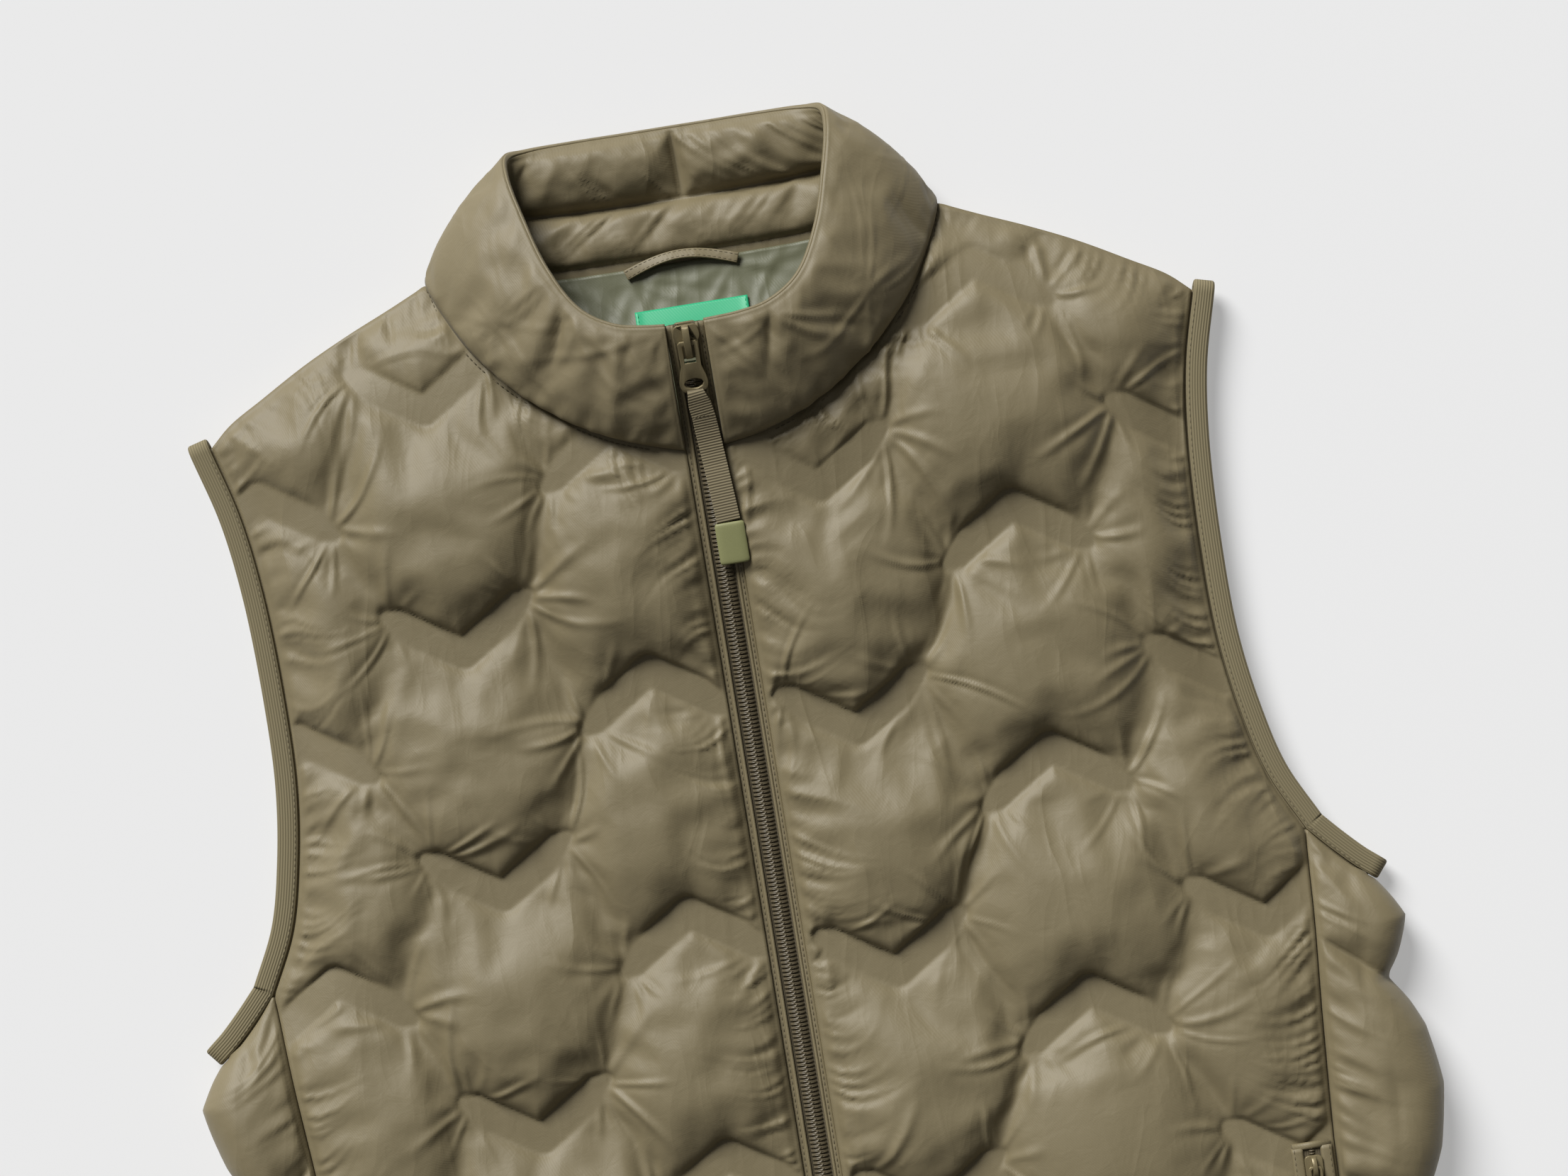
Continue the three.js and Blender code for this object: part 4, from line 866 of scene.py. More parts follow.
@dataclass(frozen=True)
class Cloth:
    """A woven cloth: colour with a slow variation, bump from threads, crinkles and creases, and a sheen."""

    name: str
    colour: str
    shade: str
    roughness: float
    sheen: float = 0.1
    thread_mm: float = 1.4
    thread_depth_mm: float = 0.03
    crinkle_mm: float = 9.0
    crinkle_depth_mm: float = 0.25
    crease_mm: float = 20.0
    crease_depth_mm: float = 0.32
    crease_turn_deg: float = -24.0
    crease_stretch: tuple[float, float, float] = (1.0, 0.34, 0.7)

    def build(self):
        """Makes the material: mixed colours by noise, and bump from ridged creases, crinkles and threads."""
        material = bpy.data.materials.new(self.name)
        material.use_nodes = True
        tree = material.node_tree
        shader = tree.nodes["Principled BSDF"]
        place = add_node(tree, "TexCoord").outputs["Object"]
        patches = add_node(tree, "TexNoise", inputs={"Vector": place, "Scale": 9.0, "Detail": 4.0})
        mixed = add_node(tree, "Mix", {"data_type": "RGBA"}, {
            "Factor": patches.outputs["Fac"], 6: linear(self.shade), 7: linear(self.colour)})
        tree.links.new(mixed.outputs[2], shader.inputs["Base Color"])
        crinkle = add_node(tree, "TexNoise", inputs={
            "Vector": place, "Scale": 1 / (self.crinkle_mm * MM), "Detail": 5.0, "Roughness": 0.55,
            "Distortion": 0.6})
        drawn = add_node(tree, "Mapping", inputs={
            "Vector": place, "Rotation": (0, 0, math.radians(self.crease_turn_deg)), "Scale": self.crease_stretch})
        ridges = add_node(tree, "TexNoise", {"noise_type": "RIDGED_MULTIFRACTAL"}, {
            "Vector": drawn.outputs["Vector"], "Scale": 1 / (self.crease_mm * MM), "Detail": 2.0,
            "Roughness": 0.4, "Offset": 0.9, "Gain": 1.6, "Distortion": 0.7})
        creases = add_node(tree, "Bump", inputs={
            "Height": ridges.outputs["Fac"], "Distance": self.crease_depth_mm * MM, "Strength": 1.0})
        folds = add_node(tree, "Bump", inputs={
            "Height": crinkle.outputs["Fac"], "Distance": self.crinkle_depth_mm * MM, "Strength": 1.0,
            "Normal": creases.outputs["Normal"]})
        threads = add_node(tree, "TexWave", {"wave_type": "BANDS", "bands_direction": "DIAGONAL"}, {
            "Vector": place, "Scale": DIAGONAL_BANDS / (self.thread_mm * MM), "Distortion": 0.4})
        weave = add_node(tree, "Bump", inputs={
            "Height": threads.outputs["Fac"], "Distance": self.thread_depth_mm * MM, "Strength": 0.6,
            "Normal": folds.outputs["Normal"]})
        tree.links.new(weave.outputs["Normal"], shader.inputs["Normal"])
        shader.inputs["Roughness"].default_value = self.roughness
        shader.inputs["Sheen Weight"].default_value = self.sheen
        shader.inputs["Sheen Roughness"].default_value = 0.4
        return material


@dataclass(frozen=True)
class RibbedTape:
    """A ribbed tape or ribbon: ribs from the piece's own UV map, across or along it, with painted shade in the
    grooves between them.
    """

    name: str
    colour: str
    # The colour of the painted shade in the grooves between the ribs.
    shade: str
    rib_mm: float
    across: bool
    roughness: float = 0.85
    rib_depth_mm: float = 0.25

    def build(self):
        """Makes the material: the grooves between the ribs get painted shade, and the ribs stand up in bump."""
        material = bpy.data.materials.new(self.name)
        material.use_nodes = True
        tree = material.node_tree
        shader = tree.nodes["Principled BSDF"]
        place = add_node(tree, "TexCoord").outputs["UV"]
        direction = "Y" if self.across else "X"
        ribs = add_node(tree, "TexWave", {"wave_type": "BANDS", "bands_direction": direction}, {
            "Vector": place, "Scale": STRAIGHT_BANDS / (self.rib_mm * MM), "Distortion": 0.25, "Detail": 1.0,
            "Detail Scale": 3.0})
        # Painted shade: the shade colour fills the grooves, where the rib bump is lowest.
        mixed = add_node(tree, "Mix", {"data_type": "RGBA"}, {
            "Factor": ribs.outputs["Fac"], 6: linear(self.shade), 7: linear(self.colour)})
        tree.links.new(mixed.outputs[2], shader.inputs["Base Color"])
        bump = add_node(tree, "Bump", inputs={
            "Height": ribs.outputs["Fac"], "Distance": self.rib_depth_mm * MM, "Strength": 0.8})
        tree.links.new(bump.outputs["Normal"], shader.inputs["Normal"])
        shader.inputs["Roughness"].default_value = self.roughness
        return material


@dataclass(frozen=True)
class Solid:
    """A hard or moulded material: painted zinc, nylon coil or soft rubber, with fine mottling."""

    name: str
    colour: str
    shade: str
    roughness: float
    metallic: float = 0.0
    ior: float = 1.5
    grain_mm: float = 0.6
    grain_depth_mm: float = 0.02

    def build(self):
        """Makes the material: noise varies its colour and gives a faint grain."""
        material = bpy.data.materials.new(self.name)
        material.use_nodes = True
        tree = material.node_tree
        shader = tree.nodes["Principled BSDF"]
        place = add_node(tree, "TexCoord").outputs["Object"]
        grain = add_node(tree, "TexNoise", inputs={
            "Vector": place, "Scale": 1 / (self.grain_mm * MM), "Detail": 3.0})
        mixed = add_node(tree, "Mix", {"data_type": "RGBA"}, {
            "Factor": grain.outputs["Fac"], 6: linear(self.shade), 7: linear(self.colour)})
        tree.links.new(mixed.outputs[2], shader.inputs["Base Color"])
        bump = add_node(tree, "Bump", inputs={
            "Height": grain.outputs["Fac"], "Distance": self.grain_depth_mm * MM, "Strength": 0.5})
        tree.links.new(bump.outputs["Normal"], shader.inputs["Normal"])
        shader.inputs["Roughness"].default_value = self.roughness
        shader.inputs["Metallic"].default_value = self.metallic
        if not self.metallic:
            shader.inputs["IOR"].default_value = self.ior
        return material


@dataclass
class Wardrobe:
    """Every material of the vest, by its record slot."""

    # Calendered plain-woven nylon: close, smooth and slightly glossy where it is stretched.
    shell: object = field(default_factory=lambda: Cloth(
        "nylon_shell_woven", "#7f7458", "#756a4e", roughness=0.56, sheen=0.05).build())
    # Plain-woven polyester lining: thinner and greener than the shell.
    lining: object = field(default_factory=lambda: Cloth(
        "polyester_lining_woven", "#676850", "#5f6049", roughness=0.5, crinkle_depth_mm=0.15,
        crease_depth_mm=0.3).build())
    # Satin-woven label ribbon: smooth with a soft shine.
    label: object = field(default_factory=lambda: Cloth(
        "satin_label_woven", "#2eb27e", "#28a673", roughness=0.45, crinkle_depth_mm=0.02,
        crease_depth_mm=0.0).build())
    # Knitted elastic binding: matt, with fine ribs along it and painted shade between them.
    binding: object = field(default_factory=lambda: RibbedTape(
        "elastic_binding_knitted", "#867b5e", "#71684d", rib_mm=1.25, across=False).build())
    # Woven polyester zip tape: matt and dark, with painted shade between its fine ribs.
    tape: object = field(default_factory=lambda: RibbedTape(
        "polyester_zip_tape_woven", "#655b45", "#4d4534", rib_mm=0.9, across=False).build())
    # Grosgrain ribbon: heavy ribs across it, with painted shade between them.
    webbing: object = field(default_factory=lambda: RibbedTape(
        "grosgrain_ribbon_woven", "#8b8063", "#6a604a", rib_mm=1.3, across=True).build())
    # Nylon coil: drawn monofilament with a dull shine.
    coil: object = field(default_factory=lambda: Solid(
        "nylon_coil_drawn", "#6c624c", "#574e3c", roughness=0.38, ior=1.53).build())
    # Die-cast zinc under khaki paint, rubbed at its edges.
    metal: object = field(default_factory=lambda: Solid(
        "painted_zinc_cast", "#8c8060", "#7a6e50", roughness=0.36, metallic=0.35).build())
    # Soft moulded rubber: matt, slightly dusty.
    rubber: object = field(default_factory=lambda: Solid(
        "soft_rubber_moulded", "#8c8d60", "#818256", roughness=0.55, ior=1.5).build())
    # Spun polyester sewing thread, a little darker than the shell.
    thread: object = field(default_factory=lambda: Solid(
        "polyester_thread_spun", "#6b6149", "#5b523d", roughness=0.7, grain_mm=0.3).build())


@dataclass
class Workshop:
    """What every sub-assembly needs: the pattern, the placement and the materials."""

    pattern: Pattern
    place: Placement
    cloths: Wardrobe

    def add(self, name: str, surface: Surface, material, slot: str, replaced: Sequence[str] = (),
            body: str = "garment", smooth: bool = True):
        """Adds one piece: its mesh and the body it rides on, and hides the nodes it stands for.

        Args:
            name: the piece's name.
            surface: its shape, in the garment's frame.
            material: its material.
            slot: the record's material slot; it is not used.
            replaced: the nodes that it replaces.
            body: the body that it rides on.
            smooth: whether it is shaded smooth.

        Returns:
            The piece.
        """
        piece = put_mesh(name, surface, self.place, material, smooth)
        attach(piece, body)
        if replaced:
            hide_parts(*replaced)
        LOG.info("%s: %d points", name, len(surface.points))
        return piece


def stitches(path: np.ndarray, off: np.ndarray, pitch: float, length: float, radius: float) -> Surface:
    """A run of stitches: small spindles laid end to end along a path, with gaps.

    Each is a six-sided spindle, thin at its ends and lifted in its middle.

    Args:
        path: points along the seam.
        off: the direction off the cloth at each point.
        pitch: from one stitch to the next.
        length: a stitch's length.
        radius: half its thickness.

    Returns:
        All the stitches as one surface.
    """
    total = np.linalg.norm(np.diff(path, axis=0), axis=1).sum()
    count = max(2, int(total / pitch))
    spots = arc_points(np.hstack([path, off]), count + 1)
    middles, away = (spots[:-1, :3] + spots[1:, :3]) / 2, spots[:-1, 3:]
    ahead = np.diff(spots[:, :3], axis=0)
    ahead /= np.linalg.norm(ahead, axis=1, keepdims=True)
    away = away - (away * ahead).sum(1, keepdims=True) * ahead
    away /= np.linalg.norm(away, axis=1, keepdims=True)
    beside = np.cross(ahead, away)
    rings = np.array([(-0.5, 0.25), (-0.32, 0.9), (0.0, 1.0), (0.32, 0.9), (0.5, 0.25)])
    turns = np.linspace(0, 2 * np.pi, 6, endpoint=False)
    along = np.repeat(rings[:, 0] * length, 6)
    wide = np.repeat(rings[:, 1] * radius, 6)
    sunk = np.repeat(-(1 - rings[:, 1]) * radius, 6)
    cos, sin = np.tile(np.cos(turns), 5) * wide, np.tile(np.sin(turns), 5) * wide + sunk
    points = (middles[:, None] + ahead[:, None] * along[None, :, None]
              + beside[:, None] * cos[None, :, None] + away[:, None] * sin[None, :, None])
    index = np.arange(30).reshape(5, 6)
    quads = np.stack([index[:-1], np.roll(index[:-1], -1, 1), np.roll(index[1:], -1, 1), index[1:]], axis=-1)
    fan = np.arange(1, 5)
    cap = np.stack([fan * 0, fan + 1, fan], axis=1)
    starts = (np.arange(len(middles)) * 30)[:, None, None]
    return outwards(Surface(
        points.reshape(-1, 3),
        (quads.reshape(1, -1, 4) + starts).reshape(-1, 4),
        (np.vstack([cap, 24 + cap[:, ::-1]])[None] + starts).reshape(-1, 3),
    ))


# Sub-assemblies.


@dataclass
class FrontPanel:
    """One padded front, quilted by bonded zigzag bands and blown up between them."""

    shop: Workshop
    side: Side
    columns: int = 60
    rows: int = 172
    detail: int = 3
    lining_step: int = 2
    crease: float = 0.3
    gather: float = 1.9
    padding: Padding = Padding()

    def plan(self) -> np.ndarray:
        """The panel's grid in plan: a patch between the hem, the zip, the side and the top edges.

        Many rounds of averaging inside the rim take the corners' kinks out of the grid's lines.
        """
        pattern, sign = self.shop.pattern, self.side.value
        zip_edge = pattern.zip_x * sign + pattern.panel_edge
        gap, neck_gap = pattern.seam_gap, pattern.neck_gap
        neck = [(zip_edge, -neck_gap), *((x + neck_gap * y / 98, y - neck_gap) for x, y in pattern.neckline)]
        shoulder = [(x + (neck_gap if x < 122 else -gap), y - neck_gap) for x, y in pattern.shoulder]
        side = curve_through([(x - gap, y) for x, y in pattern.side_seam])
        arm = curve_through([(x - gap, y) for x, y in pattern.armhole])
        top = arc_points(np.vstack([curve_through(neck), curve_through(shoulder)[1:]]), self.columns + 1)
        outer = arc_points(np.vstack([side, arm[1:]]), self.rows + 1)
        corner = np.array([[zip_edge, pattern.hem_y], [outer[0, 0], pattern.hem_y]])
        bottom = arc_points(corner, self.columns + 1)
        inner = arc_points(np.array([bottom[0], top[0]]), self.rows + 1)
        plan = coons(bottom, top, inner, outer)
        rim = plan.copy()
        for _ in range(220):
            plan = softened(plan)
            plan[[0, -1]], plan[:, [0, -1]] = rim[[0, -1]], rim[:, [0, -1]]
        return plan * [sign, 1]

    def edge_distance(self, plan: np.ndarray) -> np.ndarray:
        """Distance from each point to the panel's own rim."""
        rim = np.vstack([plan[0, :], plan[:, -1], plan[-1, ::-1], plan[::-1, 0]])
        return distance_to(plan, arc_points(rim, 260))

    def pocket_distance(self, plan: np.ndarray) -> np.ndarray:
        """Distance to the pocket opening, where the cloth is held flat."""
        y = np.clip(plan[..., 1], Pockets.bottom_y, Pockets.top_y)
        beside = np.maximum(0, np.abs(np.abs(plan[..., 0]) - self.shop.pattern.pocket_x(y)) - Pockets.width / 2)
        return np.hypot(beside, plan[..., 1] - y)

    def flat(self, detail: int) -> tuple[np.ndarray, np.ndarray, np.ndarray]:
        """The flat skin, its normals and its distance to the bands, the rim and the pocket."""
        plan, pattern = finer(self.plan(), detail), self.shop.pattern
        points = np.dstack([plan, pattern.front_level(plan) + pattern.seam_half])
        held = [pattern.band_distance(plan), self.edge_distance(plan) - 0.4, self.pocket_distance(plan) - 1.0]
        return points, np.broadcast_to([0, 0, 1.0], points.shape), np.min(held, axis=0)

    def padded(self) -> np.ndarray:
        """The padded outer skin."""
        plan, sign, pattern = self.plan(), self.side.value, self.shop.pattern
        crease = pattern.crease_distance(plan)
        edge, band = self.edge_distance(plan), np.maximum(pattern.band_distance(plan), 0)
        loose = np.max([np.exp(-edge / 12), 0.6 * np.exp(-band / 7), 0.6 * np.exp(-crease / 6)], axis=0)
        sink = self.crease * np.exp(-((crease / 3) ** 2))
        ripple = streaks(plan.shape[:2], edge, SEED + sign)
        folds = self.folds(finer(plan, self.detail))
        return self.padding.skin(self.flat, sink, loose, ripple, sign, folds, self.detail)

    def folds(self, plan: np.ndarray) -> np.ndarray:
        """Small folds that run out from the bands' ends, and gathers along the panel's seams."""
        pattern, seed = self.shop.pattern, SEED + 90 + 10 * self.side.value
        spots = pattern.band_ends()
        low, high = plan.reshape(-1, 2).min(0) - 10, plan.reshape(-1, 2).max(0) + 10
        spots = spots[((spots > low) & (spots < high)).all(1)]
        rim = np.vstack([plan[0, :], plan[:, -1], plan[-1, ::-1], plan[::-1, 0]])
        edge = distance_to(plan, arc_points(rim, 260))
        slant = 0.8 * soft_noise(edge.shape, (12, 5), seed + 1)
        gathers = puckers(place_along(plan, arc_points(rim, 200)) + slant * edge, np.maximum(0, edge - 0.4), 9.0, 13.0, seed)
        return Folds().around(plan, spots, seed) + self.gather * gathers

    def build(self) -> None:
        """Closes the padded skin with a plain lining side."""
        skin, turn = self.padded(), slice(None, None, self.side.value)
        plan = self.plan()[:: self.lining_step, :: self.lining_step]
        lining = np.dstack([plan, self.shop.pattern.front_level(plan) - self.shop.pattern.seam_half])
        piece = self.shop.add(
            f"front_{self.side.word}_quilted", wall(skin[:, turn], lining[:, turn]), self.shop.cloths.shell,
            "shell_fabric", [f"front_{self.side.word}"])


@dataclass
class Collar:
    """The stand collar: a padded outer wall and an inner wall sewn into two channels."""

    shop: Workshop
    top_y = 56
    top_z = 62
    bulge: float = 4
    channel: float = 0.46
    columns: int = 176
    rows: int = 24
    inner_step: int = 4
    outer_padding: Padding = Padding(
        height=0.22, lean=0.45, power=0.5, sag=0.03, cap=6, blow=Inflation(gathered=0.2, bending=3))
    inner_padding: Padding = Padding(
        height=0.85, lean=0, softness=6, power=0.5, sag=0, noise=0.8, cap=5,
        blow=Inflation(gathered=0.22, bending=2))

    # Deep tucks at the top of the front: place from the right or left zip end, slant, depth and reach down.
    tucks = ((14, 0.3, 1.8, 12), (50, -0.25, 5.0, 20), (42, 0.4, 2.4, 14),
             (-10, -0.2, 1.8, 11), (-31, 0.35, 5.0, 19), (-23, -0.4, 2.4, 14))

    # Where long creases start: share of the way round the top edge, and depth below it.
    pulls = ((0.0, 2.0), (0.09, 4.0), (0.16, 34.0), (0.28, 6.0), (0.34, 40.0),
             (1.0, 2.0), (0.93, 4.0), (0.85, 30.0), (0.73, 6.0), (0.66, 40.0))
    creases: Folds = Folds(count=9, length=44, width=2.6, depth=1.15)

    # Stations from the zip to the middle of the back: base x, y and layer, top x, y, z, and padding.
    stations = (
        (9, 0, "front", 9, 56, 62, 0.4),
        (25, 3.5, "front", 22, 57, 62, 0.8),
        (47, 12, "front", 36, 60, 61, 0.8),
        (76, 31, "front", 51, 70, 58, 0.8),
        (101, 56, "front", 63, 91, 52, 0.6),
        (115, 80, "front", 71, 117, 43, 0.3),
        (121.5, 97, "front", 76, 140, 32, 0.15),
        (119, 102, "fold", 75, 149.5, 22, 0.15),
        (100, 97, "back", 66, 152, 14.5, 0.4),
        (66, 92.3, "back", 44, 153, 10, 1.0),
        (33, 91, "back", 22, 153, 9, 1.0),
        (0, 91, "back", 0, 153, 9, 1.0),
    )

    def rings(self) -> tuple[np.ndarray, np.ndarray, np.ndarray]:
        """The base ring, the top ring and the padding, by station from the right zip edge round."""
        pattern = self.shop.pattern
        halves = []
        for number, (x, y, layer, top_x, top_y, top_z, padding) in enumerate(self.stations):
            on_front = pattern.front_level(np.array([[x, y]], float))[0] + pattern.seam_half + 2 * pattern.seam_gap
            base_z = {"front": on_front, "fold": pattern.back_edge + 3, "back": pattern.back_edge}[layer]
            middle = pattern.zip_x if number == 0 else 0
            halves.append((middle, x, y, base_z, top_x, top_y, top_z, padding))
        half = np.array(halves, float)
        right = np.hstack([half[:, :1] - half[:, 1:2], half[:, 2:4], half[:, :1] - half[:, 4:5], half[:, 5:]])
        left = np.hstack([half[:, :1] + half[:, 1:2], half[:, 2:4], half[:, :1] + half[:, 4:5], half[:, 5:]])
        full = np.vstack([right, left[-2::-1]])
        return full[:, :3], full[:, 3:6], full[:, 6]

    def middle(self, detail: int) -> tuple[np.ndarray, np.ndarray, np.ndarray]:
        """The collar's middle surface, its outward normals and the padding round it.

        The surface is ruled between the two rings, whose curves share the stations' parameter,
        and is bulged outwards by a parabola up its height.
        """
        base, top, padding = self.rings()
        count = self.columns * detail + 1
        ring = [self.by_station(points, count) for points in (base, top)]
        pads = np.interp(np.linspace(0, 1, count), np.linspace(0, 1, len(padding)), padding)
        h = np.linspace(0, 1, self.rows * detail + 1)[:, None, None]
        ruled = ring[0][None] * (1 - h) + ring[1][None] * h
        bulged = ruled - normals_of(ruled) * 4 * h * (1 - h) * self.bulge
        return bulged, -normals_of(bulged), pads

    def flat(self, detail: int, sign: int) -> tuple[np.ndarray, np.ndarray, np.ndarray]:
        """One wall's flat skin, its padding directions and its distance to the seams.

        Args:
            detail: how many times finer than the simulated grid.
            sign: 1 for the outer wall, -1 for the inner one, which has a channel line and a seam
                up the middle of its upper channel.

        Returns:
            The points, the directions and the distances.
        """
        middle, out, pads = self.middle(detail)
        h = np.linspace(0, 1, self.rows * detail + 1)[:, None]
        tall = np.linalg.norm(middle[-1] - middle[0], axis=-1)[None]
        steps = np.linalg.norm(np.diff(middle[len(middle) // 2], axis=0), axis=-1)
        along = np.concatenate([[0], np.cumsum(steps)])[None]
        top_slack = 0.7 if sign > 0 else 1.0
        held = [h * tall, (1 - h) * tall * top_slack, along + 0 * h, along[:, -1:] - along + 0 * h]
        if sign < 0:
            line = np.abs(h - self.channel) * tall
            below = np.maximum(0, self.channel - h) * tall
            held += [line, np.hypot(along - along[:, -1:] / 2, below)]
        skin = middle + out * sign * self.shop.pattern.seam_half
        return skin, out * sign * np.clip(pads / 0.8, 0.25, 1)[None, :, None], np.min(held, axis=0) - 0.8

    def gathers(self, sign: int) -> np.ndarray:
        """Gathers along the collar's seams, and the two deep tucks beside the zip at the front's top."""
        middle, distance = self.middle(2)[0], self.flat(2, sign)[2]
        tall = np.linalg.norm(middle[-1] - middle[0], axis=-1)[None]
        h = np.linspace(0, 1, len(middle))[:, None]
        height = 0 * distance
        lines = {1: ((0.0, 1.0), (12.0, 16.0), (1.6, 1.6), (0.4, 0.6)),
                 -1: ((0.0, self.channel, 1.0), (9.0, 11.0, 11.0), (1.9, 2.2, 2.2), (0.6, 0.9, -0.8))}
        for number, (level, pitch, depth, lean) in enumerate(zip(*lines[sign])):
            ring = middle[int(level * (len(middle) - 1))]
            along = np.concatenate([[0], np.cumsum(np.linalg.norm(np.diff(ring, axis=0), axis=1))])[None]
            edge = np.abs(h - level) * tall
            height += depth * puckers(along + lean * edge, edge, pitch, pitch, SEED + 30 + 5 * sign + number)
        top = np.concatenate([[0], np.cumsum(np.linalg.norm(np.diff(middle[-1], axis=0), axis=1))])[None]
        down = (1 - h) * tall
        for from_zip, lean, depth, reach in self.tucks:
            at = from_zip if from_zip > 0 else top[0, -1] + from_zip
            beside = np.abs(top - at - lean * down)
            height -= sign * depth * np.exp(-((beside / 2.6) ** 1.5)) * np.exp(-((down / reach) ** 2))
        if sign > 0:
            spots = [(top[0, -1] * share, depth) for share, depth in self.pulls]
            height += self.creases.around(np.dstack([top + 0 * down, down]), np.array(spots), SEED + 45)
        return height

    @staticmethod
    def by_station(points: np.ndarray, count: int) -> np.ndarray:
        """A centripetal curve through the stations, with even steps of the stations' parameter."""
        knots = np.vstack([2 * points[0] - points[1], points, 2 * points[-1] - points[-2]])
        gaps = np.linalg.norm(np.diff(knots, axis=0), axis=1) ** 0.5
        at = np.linspace(0, len(points) - 1, count)
        cell = np.minimum(at.astype(int), len(points) - 2)
        t = (at - cell)[:, None]
        a, b, c, d = (knots[cell + k] for k in range(4))
        before, here, after = (gaps[cell + k][:, None] for k in range(3))
        start = ((b - a) / before - (c - a) / (before + here) + (c - b) / here) * here
        end = ((c - b) / here - (d - b) / (here + after) + (d - c) / after) * here
        return b + start * t + (-3 * b + 3 * c - 2 * start - end) * t**2 + (2 * b - 2 * c + start + end) * t**3

    def build(self) -> None:
        """Builds both walls: each skin is padded between its seams, then closed by a plain back."""
        gap = self.shop.pattern.seam_gap
        middle, out, _ = self.middle(1)
        step = self.inner_step // 2
        walls = {"outer": (1, self.outer_padding), "inner": (-1, self.inner_padding)}
        for word, (sign, padding) in walls.items():
            distance = self.flat(1, sign)[2]
            ends = np.minimum(np.arange(self.columns + 1), np.arange(self.columns, -1, -1)) * 2.5
            ripple = streaks(distance.shape, ends + 0 * distance, SEED + 10 + sign)
            skin = padding.skin(lambda detail, sign=sign: self.flat(detail, sign), 0.0,
                                np.exp(-np.maximum(distance, 0) / 7), ripple, -sign, self.gathers(sign))
            back = (middle + out * sign * gap / 2)[::step, ::step]
            for grid in (skin, back):
                grid[..., 2] = np.maximum(grid[..., 2], 0)
            turn = slice(None, None, -sign)
            piece = self.shop.add(
                f"collar_{word}_padded", wall(skin[:, turn], back[:, turn]), self.shop.cloths.shell,
                "shell_fabric", [f"collar_{word}"])
        self.edges(middle, out)

    def edges(self, middle: np.ndarray, out: np.ndarray) -> None:
        """The rolled top edge, where the two walls meet, and the stitches of the neck seam below."""
        pattern = self.shop.pattern
        top, up = middle[-1], middle[-1] - middle[-2]
        up /= np.linalg.norm(up, axis=1, keepdims=True)
        roll = sweep(top + up * 0.2, out[-1], up, rounded_section(2.6, 1.6, 0.7, 3))
        self.shop.add("collar_top_edge", roll, self.shop.cloths.shell, "shell_fabric")
        for side in Side:
            seam = curve_through([(x + 2.2, y - 2.6) for x, y in pattern.neckline], 160)
            height = pattern.front_level(seam) + pattern.seam_half + 0.45
            path = np.column_stack([seam * [side.value, 1], height])
            sewn = stitches(path[3:], np.repeat([[0, 0, 1.0]], 157, 0), 2.8, 2.2, 0.27)
            self.shop.add(f"neck_stitches_{side.word}", sewn, self.shop.cloths.thread, "shell_fabric")


